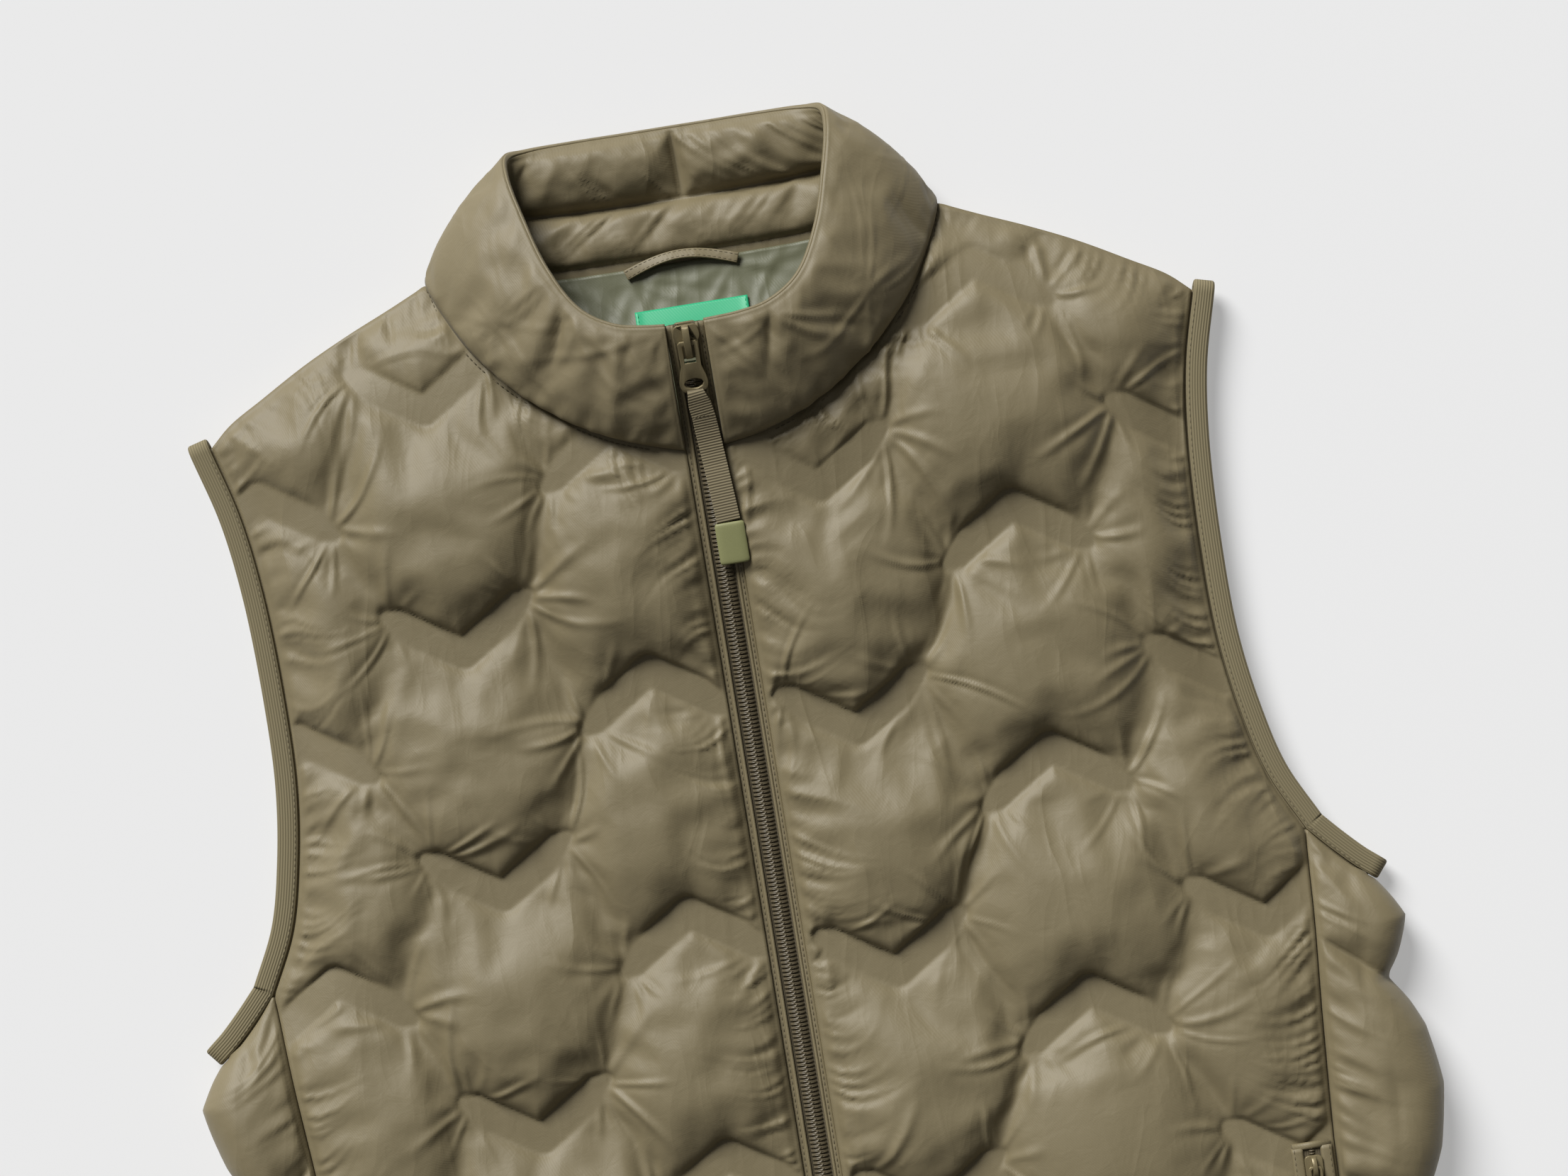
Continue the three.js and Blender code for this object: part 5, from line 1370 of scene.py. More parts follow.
@dataclass
class SidePanel:
    """A padded side panel that wraps the underarm from the front's side seam to the back's."""

    shop: Workshop
    side: Side
    columns: int = 32
    rows: int = 120
    expected_rise: float = 9
    tuck: float = 0.05
    pleat_slant: float = 26
    pleat_depth: float = 3.6
    padding: Padding = Padding(height=0.38, lean=0.2, power=0.5, sag=0, cap=8)

    # Heights at which the panel's quilting draws in its outer edge.
    notches = {Side.LEFT: (-300, -412, -522), Side.RIGHT: (-330, -440, -550)}

    # Outer edge of the side folds: y, and x on the wearer's right and left.
    fold = (
        (-575, 270, 272), (-548, 280, 281), (-522, 286, 276), (-480, 288, 286), (-446, 279, 290),
        (-412, 285, 279), (-378, 288, 287), (-349, 284, 290), (-322, 277, 287), (-299, 282, 279),
        (-270, 284, 284), (-251, 274, 274),
    )

    def wrap(self, detail: int) -> tuple[np.ndarray, np.ndarray, np.ndarray, np.ndarray]:
        """The panel's middle surface: two arms joined by a half circle.

        Returns:
            The points, the outward normals, the distance to the seams and that to the tucks.
        """
        pattern, sign = self.shop.pattern, self.side.value
        s = np.linspace(0, 1, self.columns * detail + 1)[None, :]
        v = np.linspace(0, 1, self.rows * detail + 1)[:, None]
        seam, fold = np.array(pattern.side_seam), np.array(self.fold, float)
        under = curve_through(pattern.underarm)

        def cut(y: np.ndarray) -> tuple[np.ndarray, ...]:
            """The wrap's seam, radius, arm length and turn at some heights up the garment."""
            seam_x = np.interp(y, seam[:, 1], seam[:, 0]) + pattern.seam_gap
            radius = (pattern.front_level(np.stack([seam_x, y], axis=-1)) - pattern.back_edge) / 2
            reach_x = np.interp(y, fold[:, 0], fold[:, 2 if sign > 0 else 1])
            rise = self.expected_rise * smooth_step(-y, 240, 330)
            reach = reach_x - seam_x - rise - pattern.seam_half - radius
            length = 2 * reach + np.pi * radius
            turn = np.clip((s * length - reach) / radius, 0, np.pi)
            arm = np.minimum(np.minimum(s, 1 - s) * length, reach)
            return seam_x + arm + radius * np.sin(turn), radius, turn, length

        top_x = cut(np.full(s.shape, -240.0))[0]
        top = np.interp(top_x, under[:, 0], under[:, 1]) - pattern.seam_gap
        y = pattern.hem_y + (top - pattern.hem_y) * v
        x, radius, turn, length = cut(y)
        middle = np.stack([x * sign, y, pattern.back_edge + radius * (1 + np.cos(turn))], axis=-1)
        normal = np.stack([np.sin(turn) * sign, np.zeros_like(turn), np.cos(turn)], axis=-1)
        notches = self.notches[self.side]
        off = np.abs(s - 0.5)
        tucks = [np.hypot(y - at - 60 * off, np.maximum(0, off - 0.3) * length) for at in notches]
        held = [s * length, (1 - s) * length, top - y, y - pattern.hem_y]
        return middle, normal, np.min(held, axis=0) - 0.3, np.min(tucks, axis=0)

    def flat(self, detail: int) -> tuple[np.ndarray, np.ndarray, np.ndarray]:
        """The outer skin before it is padded, as Padding.skin asks for it."""
        middle, normal, distance, _ = self.wrap(detail)
        return middle + normal * self.shop.pattern.seam_half, normal, distance

    def gathers(self) -> np.ndarray:
        """Gathers along the two side seams, and a slanting pleat from each tuck up to the front's seam."""
        middle, _, distance, _ = self.wrap(2)
        s = np.linspace(0, 1, middle.shape[1])[None, :]
        width = np.linalg.norm(np.diff(middle, axis=1), axis=-1).sum(1)[:, None]
        seed = SEED + 60 + self.side.value
        height = 0 * distance
        for number, edge in enumerate((s * width, (1 - s) * width)):
            along = middle[..., 1] - self.shop.pattern.hem_y + 0.5 * edge
            height += 1.9 * puckers(along, edge, 9.0, 14.0, seed + 3 * number)
        for number, at in enumerate(self.notches[self.side]):
            across = np.clip(1 - 2 * s, 0, 1)
            over = middle[..., 1] - at - self.pleat_slant * across
            reach = smooth_step(1 - 2 * s, -0.2, 0.35) * smooth_step(distance, 0, 4)
            drop = np.exp(-np.abs(over) / np.where(over > 0, 2.2, 5.0))
            height -= self.pleat_depth * (1 - 0.25 * number) * drop * reach
        return height

    def build(self) -> None:
        """Pads the wrap outwards and closes it with a plain inner skin."""
        middle, normal, distance, tuck = self.wrap(1)
        sides = np.minimum(np.arange(self.columns + 1), np.arange(self.columns, -1, -1)) * 2.8
        ripple = streaks(distance.shape, sides + 0 * distance, SEED + 20 + self.side.value)
        loose = np.exp(-np.maximum(np.minimum(distance, tuck), 0) / 10)
        sink = self.tuck * np.exp(-((tuck / 3.5) ** 2))
        skin = self.padding.skin(self.flat, sink, loose, ripple, self.side.value, self.gathers())
        skin[..., 2] = np.maximum(skin[..., 2], 0)
        inside = (middle - normal * self.shop.pattern.seam_half)[::2, ::2]
        turn = slice(None, None, self.side.value)
        piece = self.shop.add(
            f"side_{self.side.word}_padded", wall(skin[:, turn], inside[:, turn]), self.shop.cloths.shell,
            "shell_fabric", [f"side_{self.side.word}"])


@dataclass
class BackPanel:
    """The padded back, with the zigzag bands pressed into its underside."""

    shop: Workshop
    columns: int = 120
    rows: int = 170
    groove: float = 1.8

    def plan(self) -> np.ndarray:
        """The back's grid in plan: u across from the wearer's right, v up from the hem."""
        pattern = self.shop.pattern
        gap = pattern.seam_gap
        side = curve_through([(x - gap, y) for x, y in pattern.side_seam])
        arm = curve_through([(x - gap, y) for x, y in pattern.armhole])
        up = arc_points(np.vstack([side, arm[1:]]), self.rows + 1)
        shoulder = curve_through([(x - gap, y - gap) for x, y in pattern.shoulder])
        neck = curve_through([(x, y - gap) for x, y in pattern.back_neck])
        half = np.vstack([neck[::-1], shoulder[1:]])
        top = arc_points(np.vstack([half[::-1] * [-1, 1], half[1:]]), self.columns + 1)
        bottom = arc_points(np.array([[-up[0, 0], pattern.hem_y], [up[0, 0], pattern.hem_y]]), self.columns + 1)
        return coons(bottom, top, up * [-1, 1], up)

    def build(self) -> None:
        """Builds the closed panel; the underside is flat on the floor between its grooves."""
        pattern, plan = self.shop.pattern, self.plan()
        edge = pattern.nearest(plan, pattern.shoulder, pattern.armhole, pattern.side_seam, pattern.back_neck)
        edge = np.minimum(edge, np.abs(plan[..., 1] - pattern.hem_y))
        rim = (pattern.back_edge - pattern.seam_half) * np.exp(-((edge / 7) ** 2))
        band = pattern.band_distance(plan * [-1, 1])
        pressed = self.groove * (1 - smooth_step(band, -2, 5))
        under = np.dstack([plan, np.maximum(rim, pressed)])
        over = np.dstack([plan, pattern.back_height(plan)])
        piece = self.shop.add("back_padded", wall(over, under), self.shop.cloths.shell,
                              "shell_fabric", ["back"])


@dataclass
class ArmholeBinding:
    """Elastic tape folded over an armhole's edge, sewn down along its inner side."""

    shop: Workshop
    side: Side
    width: float = 10
    thickness: float = 4
    inset: float = 0.7
    steps: int = 240

    def build(self) -> None:
        """Carries a rounded section along the front edge, over the shoulder and down the back edge."""
        pattern, sign = self.shop.pattern, self.side.value
        edge = np.vstack([curve_through(pattern.underarm[::-1]), curve_through(pattern.armhole)[1:]])
        edge = arc_points(edge, self.steps + 1)
        ahead = np.gradient(edge, axis=0)
        ahead /= np.linalg.norm(ahead, axis=1, keepdims=True)
        outward = np.stack([ahead[:, 1], -ahead[:, 0], 0 * ahead[:, 0]], axis=1)
        ahead = np.hstack([ahead, np.zeros((len(ahead), 1))])
        line = np.hstack([edge, np.zeros((len(edge), 1))]) + outward * (self.inset + self.width / 2)
        low, high = pattern.back_edge, pattern.front_edge + 0.4
        radius = (high - low) / 2
        turns = np.linspace(0, np.pi, 9)[1:-1]
        parts = [(np.arange(len(line)), np.zeros(len(line)), 1),
                 (np.full(len(turns), len(line) - 1), turns, 1),
                 (np.arange(len(line))[::-1], np.full(len(line), np.pi), 1),
                 (np.zeros(len(turns), int), turns[::-1], -1)]
        at = np.concatenate([part[0] for part in parts])
        turn = np.concatenate([part[1] for part in parts])[:, None]
        way = np.concatenate([np.full(len(part[0]), part[2]) for part in parts])[:, None]
        up = np.array([[0, 0, 1.0]])
        path = line[at] + ahead[at] * np.sin(turn) * radius * way + up * (low + radius * (1 + np.cos(turn)))
        through = up * np.cos(turn) + ahead[at] * np.sin(turn) * way
        across = outward[at]
        mirror = np.array([sign, 1, 1])
        shape = sweep(path * mirror, across * mirror, through * mirror,
                      rounded_section(self.width, self.thickness, 1.2), closed=True)
        self.shop.add(f"armhole_binding_{self.side.word}_tape", shape, self.shop.cloths.binding,
                      "elastic_binding", [f"armhole_binding_{self.side.word}"])
        inner_line = line - outward * (self.width / 2 - 1.4) + up * (high + self.thickness / 2 - 0.1)
        sewn = stitches(inner_line[4:-4] * mirror, np.repeat(up, len(line) - 8, 0), 2.8, 2.2, 0.28)
        self.shop.add(f"armhole_stitches_{self.side.word}", sewn, self.shop.cloths.thread, "shell_fabric")


@dataclass
class SeamAllowances:
    """Strips of shell cloth that lie under the lines where the pieces are sewn together."""

    shop: Workshop
    width: float = 3.2
    thickness: float = 0.9
    front_sink: float = 0.3
    neck_width: float = 7.2
    neck_shift: float = 2.5
    neck_lift: float = 0.2

    def build(self) -> None:
        """Builds the strips of both side seams, both armholes and the back of the neck."""
        pattern, strips = self.shop.pattern, []
        for side in Side:
            for rows in (pattern.side_seam, pattern.underarm, pattern.armhole):
                line = arc_points(curve_through(rows), 160)
                level = pattern.front_level(line) - self.front_sink
                strips.append(self.strip(np.column_stack([line * [side.value, 1], level]), self.width))
        half = curve_through(pattern.back_neck)
        neck = arc_points(np.vstack([half, half[-2::-1] * [-1, 1]]), 160)
        level = pattern.back_height(neck) + self.neck_lift
        strips.append(self.strip(np.column_stack([neck + [0, self.neck_shift], level]), self.neck_width))
        self.shop.add("seam_allowances", Surface.joined(strips), self.shop.cloths.shell, "shell_fabric")

    def strip(self, path: np.ndarray, width: float) -> Surface:
        """A flat strip of some width along a path."""
        ahead = np.gradient(path, axis=0)
        across = np.cross(ahead, [0, 0, 1.0])
        across /= np.linalg.norm(across, axis=1, keepdims=True)
        up = np.cross(across, ahead)
        up /= np.linalg.norm(up, axis=1, keepdims=True)
        return sweep(path, across, up, rounded_section(width, self.thickness, 0.3, 2))


@dataclass
class FrontZip:
    """The closed front zip: tapes with rolled facings, the coil's teeth and stitching."""

    shop: Workshop
    pitch: float = 1.96
    chain_top: float = 38.5
    chain_bottom: float = -562

    def strip(self, y: np.ndarray, across: float, lift: float, profile: np.ndarray) -> Surface:
        """A section carried along the zip at a sideways place and a lift off it."""
        point, _, off = self.shop.pattern.zip_frame(y)
        right = np.broadcast_to([1.0, 0, 0], point.shape)
        return sweep(point + right * across + off * lift, right, off, profile)

    def teeth(self) -> Surface:
        """The coil: hooked loops from either side, half a pitch apart, meeting in the middle.

        Each loop's middle line is a flat arch from the side's edge over the middle and back,
        and a six-sided tube is carried along it.
        """
        pattern = self.shop.pattern
        count = int((self.chain_top - self.chain_bottom) / self.pitch)
        t = np.linspace(0, 1, 7)
        turns = np.linspace(0, 2 * np.pi, 6, endpoint=False)
        loop_x = -3.9 + 4.6 * np.sin(np.pi * t) ** 0.6
        loop_y = (t - 0.5) * self.pitch * 0.92
        loop_z = 0.35 + 0.85 * np.sin(np.pi * t) ** 0.8
        middle = np.stack([loop_x, loop_y, loop_z], axis=1)
        ahead = np.gradient(middle, axis=0)
        ahead /= np.linalg.norm(ahead, axis=1, keepdims=True)
        beside = np.cross(ahead, [0, 0, 1.0])
        beside /= np.linalg.norm(beside, axis=1, keepdims=True)
        above = np.cross(beside, ahead)
        ring = beside[:, None] * np.cos(turns)[None, :, None] + above[:, None] * np.sin(turns)[None, :, None]
        tube = (middle[:, None] + 0.42 * ring).reshape(-1, 3)
        index = np.arange(42).reshape(7, 6)
        quads = np.stack([index[:-1], np.roll(index[:-1], -1, 1), np.roll(index[1:], -1, 1), index[1:]], axis=-1)
        fan = np.arange(1, 5)
        cap = np.stack([fan * 0, fan + 1, fan], axis=1)
        caps = np.vstack([cap, 36 + cap[:, ::-1]])
        parts = []
        for side in Side:
            shift = 0.25 if side is Side.LEFT else -0.25
            y = self.chain_bottom + (np.arange(count) + 0.5 + shift) * self.pitch
            point, along, off = pattern.zip_frame(y)
            local = tube * [-side.value, 1, 1]
            points = (point[:, None] + np.array([1.0, 0, 0]) * local[None, :, :1]
                      + along[:, None] * local[None, :, 1:2] + off[:, None] * local[None, :, 2:])
            starts = (np.arange(count) * 42)[:, None, None]
            parts.append(outwards(Surface(
                points.reshape(-1, 3), (quads.reshape(1, -1, 4) + starts).reshape(-1, 4),
                (caps[None] + starts).reshape(-1, 3))))
        return Surface.joined(parts)

    def build(self) -> None:
        """Builds the tapes, facings, the coil's core and teeth, and topstitching."""
        pattern, cloths = self.shop.pattern, self.shop.cloths
        run = np.linspace(pattern.hem_y + 1, Collar.top_y, 260)
        for side in Side:
            sign = side.value
            tape = self.strip(run, sign * 5.4, -0.45, rounded_section(4.6, 0.7, 0.3, 1))
            roll = self.strip(run, sign * 5.75, 0.55, rounded_section(1.5, 1.5, 0.7, 3))
            facing = self.strip(run, sign * 7.6, 0.1, rounded_section(2.9, 1.1, 0.5, 2))
            self.shop.add(f"zip_tape_{side.word}_woven", tape, cloths.tape, "zip_tape",
                          [f"zip_tape_{side.word}"])
            self.shop.add(f"zip_facing_{side.word}", Surface.joined([roll, facing]), cloths.shell, "shell_fabric")
            point, _, off = pattern.zip_frame(run[6:-2])
            sewn = stitches(point + [sign * 7.5, 0, 0] + off * 0.75, off, 2.8, 2.2, 0.25)
            self.shop.add(f"zip_stitches_{side.word}", sewn, cloths.thread, "shell_fabric")
        bed = self.strip(np.linspace(self.chain_bottom, self.chain_top, 240), 0, -0.6,
                         rounded_section(7.6, 1.2, 0.5, 2))
        self.shop.add("zip_coil_core", bed, cloths.tape, "zip_tape")
        self.shop.add("zip_coil_teeth", self.teeth(), cloths.coil, "zip_coil", ["zip_chain"])


@dataclass
class Pull:
    """The slider's ribbon, which loops through the metal pull's eye, and the moulded tip below it."""

    shop: Workshop
    slider_y: float = 48.5
    width: float = 11.2
    ply: float = 0.8
    tip_width: float = 14
    tip_length: float = 19.5
    tip_thickness: float = 2.8

    # The ribbon's way up the zip, through the eye and back under: y and lift off the zip.
    way = ((-36.4, 5.45), (-12, 5.45), (12, 5.5), (21, 5.75), (24.8, 6.0), (27, 5.5), (27.6, 4.5), (27, 3.5),
           (24.8, 2.95), (21, 3.2), (12, 4.5), (-12, 4.6), (-36.4, 4.6))

    def on_zip(self, y: np.ndarray, lift: np.ndarray, across: np.ndarray) -> np.ndarray:
        """Points in the zip's own frame: up it, off it and across it."""
        point, _, off = self.shop.pattern.zip_frame(y)
        return point + off * lift[:, None] + np.array([1.0, 0, 0]) * across[:, None]

    @staticmethod
    def drift(y: np.ndarray) -> np.ndarray:
        """How far the ribbon hangs to the wearer's left of the zip."""
        return np.interp(y, (-36.5, 15, 27), (5.5, 1.9, 0.0))

    def build(self) -> None:
        """Builds the ribbon, the ribbon's stitches and the tip."""
        way = curve_through(self.way, 150)
        path = self.on_zip(way[:, 0], way[:, 1], self.drift(way[:, 0]))
        ahead = np.gradient(path, axis=0)
        ahead /= np.linalg.norm(ahead, axis=1, keepdims=True)
        across = np.cross(ahead, np.cross([1.0, 0, 0], ahead))
        across /= np.linalg.norm(across, axis=1, keepdims=True)
        through = np.cross(ahead, across)
        width = np.interp(way[:, 0], (10, 21, 24.5, 27), (self.width, self.width - 0.6, 9.0, 7.6))
        section = rounded_section(1, self.ply, 0.06, 2) * [1, 1]
        profile = section[None] * np.stack([width, np.ones(len(width))], axis=1)[:, None]
        ribbon = sweep(path, across, through, profile)
        self.shop.add("pull_ribbon_grosgrain", ribbon, self.shop.cloths.webbing, "pull_webbing",
                      ["pull_ribbon"], body="front_pull")
        x = np.linspace(-self.width / 2 + 1, self.width / 2 - 1, 24)
        level = np.full(24, 15.5)
        seam = self.on_zip(level, np.full(24, 6.05), self.drift(level) + x)
        off = self.shop.pattern.zip_frame(level)[2]
        self.shop.add("pull_ribbon_stitches", stitches(seam, off, 1.8, 1.5, 0.22), self.shop.cloths.thread,
                      "pull_webbing", body="front_pull")
        self.build_tip()

    def build_tip(self) -> None:
        """The tip: a flat block whose section shrinks round its ends, crowned across and bare."""
        half = self.tip_length / 2
        t = np.concatenate([[-1, -0.985, -0.95, -0.9], np.linspace(-0.8, 0.8, 9), [0.9, 0.95, 0.985, 1]])
        corner = 1.5
        inset = np.maximum(0, np.abs(t) * half - (half - corner))
        shrink = corner - np.sqrt(np.maximum(0, corner**2 - inset**2))
        y = -36.5 - self.shop.pattern.seam_gap - half + t * half
        path = self.on_zip(y, np.full(len(y), 5.0), np.full(len(y), 5.5))
        _, _, off = self.shop.pattern.zip_frame(y)
        unit = rounded_section(2, 2, 0.55, 5)
        crown = 1 + 0.12 * (1 - unit[:, :1] ** 2) * np.sign(unit[:, 1:])
        scale = np.stack([self.tip_width / 2 - shrink, self.tip_thickness / 2 - 0.55 * shrink], axis=1)[:, None]
        profile = np.concatenate([unit[:, :1], unit[:, 1:] * np.abs(crown)], axis=1)[None] * scale
        tip = sweep(path, np.broadcast_to([1.0, 0, 0], path.shape), off, profile)
        self.shop.add("pull_tip_moulded", tip, self.shop.cloths.rubber, "pull_rubber", ["pull_tip"],
                      body="front_pull")


@dataclass
class NeckTrims:
    """What shows inside the neck: the lining, the bare label and the hanger loop."""

    shop: Workshop
    loop_solid: object
    lining_half: float = 94.3
    lining_low: float = -34.8
    label_box = (-27.1, 27.1, 49.8, 68.3)
    loop_half: float = 27
    loop_x: float = -1.5
    loop_y: float = 86.5
    loop_bow: float = 6
    loop_width: float = 5

    def creases(self, plan: np.ndarray) -> np.ndarray:
        """Soft creases of the lining, which run down from the loop and the label and in from the sides."""
        spots = np.array([(-26, 84), (22, 84), (-60, 88), (62, 88), (-29, 60), (29, 60)], float)
        long = Folds(count=9, length=46, width=5, depth=0.55).around(plan, spots, SEED + 200)
        return long + 0.35 * soft_noise(plan.shape[:2], (7, 12), SEED + 201)

    def lining_height(self, plan: np.ndarray) -> np.ndarray:
        """Height of the lining's top side over the floor."""
        return self.shop.pattern.back_height(plan) + self.shop.pattern.seam_gap + 1.1 + self.creases(plan)

    def build(self) -> None:
        """Builds the three trims."""
        pattern, cloths = self.shop.pattern, self.shop.cloths
        u, v = np.meshgrid(np.linspace(-1, 1, 121), np.linspace(0, 1, 81))
        neck = curve_through(pattern.back_neck)[::-1]
        x = u * self.lining_half
        top = np.interp(np.abs(x), neck[:, 0], neck[:, 1]) - pattern.seam_gap
        plan = np.stack([x, self.lining_low + (top - self.lining_low) * v], axis=-1)
        height = self.lining_height(plan)
        shape = wall(np.dstack([plan, height]), np.dstack([plan, height - 0.6]))
        lining = self.shop.add("back_lining_cloth", shape, cloths.lining, "lining_fabric", ["back_lining"])
        area = self.declare(lining, np.dstack([plan, height]), ["back_padded"])
        LOG.info("lining %.4f square metres", area)
        self.build_label()
        self.build_loop()

    @staticmethod
    def declare(piece, grid: np.ndarray, under: Sequence[str]) -> float:
        """The area of a laid sheet, in square metres: the sum of its grid's cells, at most the product of its middle
        lines' lengths.
        """
        middle_row, middle_column = grid[len(grid) // 2], grid[:, grid.shape[1] // 2]
        width, length = (np.linalg.norm(np.diff(line, axis=0), axis=1).sum() * MM
                         for line in (middle_row, middle_column))
        sides = np.cross(np.diff(grid, axis=1)[:-1], np.diff(grid, axis=0)[:, :-1])
        area = float(min(np.linalg.norm(sides, axis=-1).sum() * MM**2, width * length))
        return area

    def build_label(self) -> None:
        """The label: a satin ribbon folded under at its two ends and slightly bowed, left bare."""
        low_x, high_x, low_y, high_y = self.label_box
        u, v = np.meshgrid(np.linspace(0, 1, 45), np.linspace(0, 1, 17))
        plan = np.stack([low_x + (high_x - low_x) * u, low_y + (high_y - low_y) * v], axis=-1)
        bow = 0.35 * np.sin(np.pi * v) * (1 + 0.5 * np.sin(7 * u))
        ends = 0.45 * np.exp(-((np.minimum(u, 1 - u) * 54 / 2.2) ** 2))
        height = self.shop.pattern.back_height(plan) + 2.3 + bow + ends
        shape = wall(np.dstack([plan, height]), np.dstack([plan, height - 0.45]))
        label = self.shop.add("label_satin", shape, self.shop.cloths.label, "label_fabric", ["label"])
        self.declare(label, np.dstack([plan, height]), ["back_lining_cloth"])
        sewn = []
        for x in (low_x + 1.3, high_x - 1.3):
            y = np.linspace(low_y + 1, high_y - 1, 16)
            line = np.stack([np.full(16, x), y], axis=1)
            z = self.shop.pattern.back_height(line) + 2.95
            sewn.append(stitches(np.column_stack([line, z]), np.repeat([[0, 0, 1.0]], 16, 0), 2.2, 1.7, 0.2))
        self.shop.add("label_stitches", Surface.joined(sewn), self.shop.cloths.label, "label_fabric")

    def build_loop(self) -> None:
        """The hanger loop: a folded strip bowed over the back collar, with a row of stitches along each side.

        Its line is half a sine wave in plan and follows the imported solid's height.
        """
        share = np.linspace(0, 1, 90)
        bow = np.sin(np.pi * share)
        x = (2 * share - 1) * self.loop_half + self.loop_x
        y = self.loop_y + self.loop_bow * bow
        node = self.loop_solid
        corners = np.empty(len(node.data.vertices) * 3)
        node.data.vertices.foreach_get("co", corners)
        solid = self.shop.place.to_garment(corners.reshape(-1, 3))
        weight = np.exp(-(((x[:, None] - solid[None, :, 0]) / 2.5) ** 2))
        z = (weight * solid[None, :, 2]).sum(1) / weight.sum(1)
        path = np.stack([x, y, z], axis=1)
        ahead = np.gradient(path, axis=0)
        ahead /= np.linalg.norm(ahead, axis=1, keepdims=True)
        lean = 0.5 * bow[:, None]
        up = np.array([[0, 0, 1.0]]) - np.cross(ahead, [0, 0, 1.0]) * lean
        across = np.cross(ahead, up)
        across /= np.linalg.norm(across, axis=1, keepdims=True)
        through = np.cross(across, ahead)
        strip = sweep(path, across, through, rounded_section(self.loop_width, 1.4, 0.5, 3))
        self.shop.add("hanger_loop_strip", strip, self.shop.cloths.shell, "shell_fabric", ["hanger_loop"])
        rows = [stitches(path + across * (1.5 * way) + through * 0.72, through, 2.4, 1.9, 0.2) for way in (-1, 1)]
        self.shop.add("hanger_loop_stitches", Surface.joined(rows), self.shop.cloths.thread, "shell_fabric")


@dataclass
class Pockets:
    """The closed side pockets: rolled lips round a coil zip beside each side seam."""

    shop: Workshop
    top_y = -372
    bottom_y = -530
    width = 19
    inset = 2

    def build(self) -> None:
        """Builds each pocket's tape, coil, lips, end bars and stitches."""
        pattern, cloths = self.shop.pattern, self.shop.cloths
        for side in Side:
            y = np.linspace(self.bottom_y, self.top_y, 80)
            x = pattern.pocket_x(y) * side.value
            z = pattern.front_level(np.stack([x, y], axis=-1)) + pattern.seam_half
            path = np.stack([x, y, z + pattern.seam_gap + 0.7], axis=1)
            right = np.broadcast_to([1.0, 0, 0], path.shape)
            up = np.broadcast_to([0, 0, 1.0], path.shape)
            tape = sweep(path, right, up, rounded_section(self.width - 1, 1.2, 0.5, 2))
            self.shop.add(f"pocket_zip_{side.word}_tape", tape, cloths.tape, "zip_tape",
                          [f"pocket_zip_{side.word}"])
            lips, sewn = [], []
            for way in (-1, 1):
                middle = path + right * (way * (self.width / 2 - 2.6))
                lips.append(sweep(middle + up * 0.9, right, up, rounded_section(5.6, 3.0, 1.4, 4)))
                sewn.append(stitches(middle + right * way * 1.5 + up * 2.35, up, 2.8, 2.2, 0.25))
            for end, way in ((path[0], -1), (path[-1], 1)):
                bar = end + np.array([0, way * 0.6, 0.9]) + right[:2] * [[-self.width / 2 + 0.6], [self.width / 2 - 0.6]]
                lips.append(sweep(bar, np.repeat([[0, 1.0, 0]], 2, 0), up[:2], rounded_section(3.4, 3.0, 1.4, 4)))
            self.shop.add(f"pocket_lips_{side.word}", Surface.joined(lips), cloths.shell, "shell_fabric")
            self.shop.add(f"pocket_stitches_{side.word}", Surface.joined(sewn), cloths.thread, "shell_fabric")
            coil = stitches(path + up * 0.75, right, 1.3, 0.9, 1.5)
            self.shop.add(f"pocket_coil_{side.word}", coil, cloths.coil, "zip_coil")


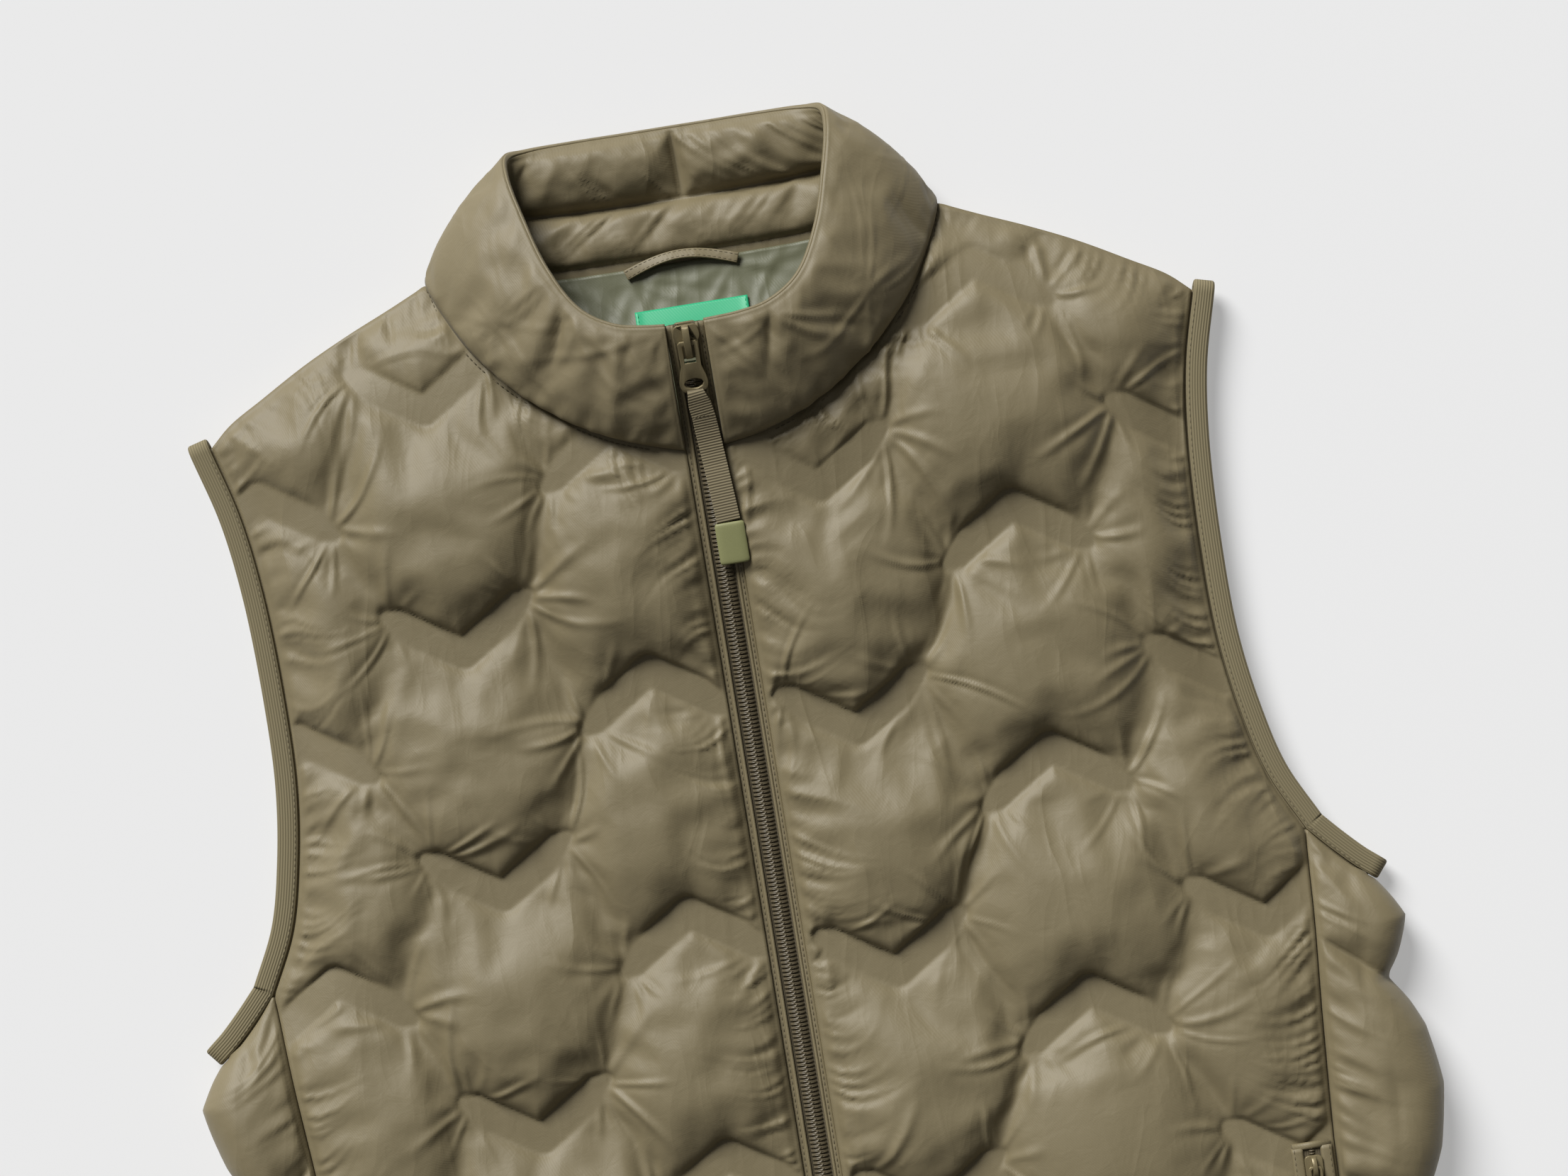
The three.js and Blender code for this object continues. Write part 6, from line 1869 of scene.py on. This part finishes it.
@dataclass
class Stage:
    """The pale floor, the soft light from the upper left of the picture, and the camera."""

    place: Placement
    turn_deg: float = 9.2
    view_width: float = 740
    view_middle: tuple[float, float, float] = (22, -72.1, 25)
    lens: float = 85
    sensor: float = 36

    def build(self) -> None:
        """Makes the floor, the lights and the camera."""
        floor_mesh = bpy.data.meshes.new("floor")
        reach = 6.0
        corners = [(-reach, -reach, 0), (reach, -reach, 0), (reach, reach, 0), (-reach, reach, 0)]
        floor_mesh.from_pydata(corners, [], [(0, 1, 2, 3)])
        paper = bpy.data.materials.new("matt_paper_floor")
        paper.use_nodes = True
        shader = paper.node_tree.nodes["Principled BSDF"]
        shader.inputs["Base Color"].default_value = linear("#bcbcbc")
        shader.inputs["Roughness"].default_value = 0.9
        shader.inputs["Emission Color"].default_value = linear("#ffffff")
        shader.inputs["Emission Strength"].default_value = 0.34
        floor_mesh.materials.append(paper)
        floor = bpy.data.objects.new("floor", floor_mesh)
        bpy.context.scene.collection.objects.link(floor)
        target = self.place.to_row(np.array(self.view_middle))
        angle = math.radians(self.turn_deg)
        camera = bpy.data.objects.new("camera", bpy.data.cameras.new("camera"))
        camera.data.lens, camera.data.sensor_width = self.lens, self.sensor
        height = self.view_width * MM * self.lens / self.sensor
        camera.location = (target[0], target[1], target[2] + height)
        camera.rotation_euler = (0, 0, -angle)
        camera.data.clip_end = 50
        bpy.context.scene.collection.objects.link(camera)
        bpy.context.scene.camera = camera
        self.add_light("key", azimuth=126, elevation=37, softness=30, strength=4.3)
        self.add_light("fill", azimuth=200, elevation=60, softness=90, strength=0.12)
        world = bpy.data.worlds.new("studio")
        world.use_nodes = True
        backdrop = world.node_tree.nodes["Background"]
        backdrop.inputs["Color"].default_value = (1, 1, 1, 1)
        backdrop.inputs["Strength"].default_value = 0.08
        bpy.context.scene.world = world
        bpy.context.scene.view_settings.view_transform = "Standard"

    def add_light(self, name: str, azimuth: float, elevation: float, softness: float, strength: float) -> None:
        """Adds a broad, even light.

        Args:
            name: its name.
            azimuth: where it stands, in degrees anticlockwise from the picture's right.
            elevation: its height over the floor in degrees.
            softness: how wide it looks from the vest, in degrees.
            strength: its strength in watts a square metre.
        """
        lamp = bpy.data.lights.new(name, "SUN")
        lamp.angle, lamp.energy = math.radians(softness), strength
        light = bpy.data.objects.new(name, lamp)
        light.rotation_euler = (0, math.radians(90 - elevation), math.radians(azimuth - self.turn_deg))
        bpy.context.scene.collection.objects.link(light)


def bevelled(frame: dict, node: str, name: str, material, body: str, width_mm: float) -> None:
    """Stands a copy of a hard solid in for it, with its facets joined and its edges rounded.

    Args:
        node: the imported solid's name.
        name: the new piece's name.
        material: its finish.
        body: the body that it rides on.
        width_mm: how wide its edges are rounded.
    """
    source = frame["nodes"][node]
    mesh = source.data.copy()
    shape = bmesh.new()
    shape.from_mesh(mesh)
    bmesh.ops.remove_doubles(shape, verts=shape.verts, dist=1e-6)
    bmesh.ops.dissolve_limit(shape, angle_limit=math.radians(1.5), verts=shape.verts, edges=shape.edges)
    bmesh.ops.recalc_face_normals(shape, faces=shape.faces)
    shape.to_mesh(mesh)
    shape.free()
    mesh.materials.clear()
    mesh.materials.append(material)
    mesh.polygons.foreach_set("use_smooth", np.ones(len(mesh.polygons), bool))
    piece = bpy.data.objects.new(name, mesh)
    bpy.context.scene.collection.objects.link(piece)
    bevel = piece.modifiers.new("edges", "BEVEL")
    bevel.width, bevel.segments, bevel.limit_method = width_mm * MM, 2, "ANGLE"
    bevel.angle_limit, bevel.harden_normals = math.radians(24), True
    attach(piece, body)
    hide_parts(node)


def dress_hardware(frame: dict, cloths: Wardrobe) -> None:
    """Gives the hard zip parts rounded edges and their finishes.

    Args:
        cloths: the materials.
    """
    bevelled(frame, "slider", "slider_cast", cloths.metal, "garment", 0.3)
    bevelled(frame, "pull_tab", "pull_tab_cast", cloths.metal, "front_pull", 0.3)
    bevelled(frame, "zip_box", "zip_box_moulded", cloths.coil, "garment", 0.4)
    for side in Side:
        bevelled(frame, f"pocket_slider_{side.word}", f"pocket_slider_{side.word}_cast", cloths.metal, "garment", 0.2)
        bevelled(frame, f"pocket_pull_{side.word}", f"pocket_pull_{side.word}_wire", cloths.metal,
                 f"{side.word}_pocket_pull", 0.3)


def main() -> None:
    """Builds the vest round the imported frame."""
    logging.basicConfig(level=logging.INFO, format="%(name)s %(message)s")
    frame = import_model()
    place = Placement.from_frame()
    LOG.info("garment frame at %.2f, %.2f mm", place.x, place.y)
    shop = Workshop(Pattern(), place, Wardrobe())
    Stage(place).build()
    dress_hardware(frame, shop.cloths)
    BackPanel(shop).build()
    for side in Side:
        FrontPanel(shop, side).build()
        SidePanel(shop, side).build()
        ArmholeBinding(shop, side).build()
    Collar(shop).build()
    FrontZip(shop).build()
    SeamAllowances(shop).build()
    Pull(shop).build()
    NeckTrims(shop, frame["nodes"]["hanger_loop"]).build()
    Pockets(shop).build()


if __name__ == "__main__":
    main()
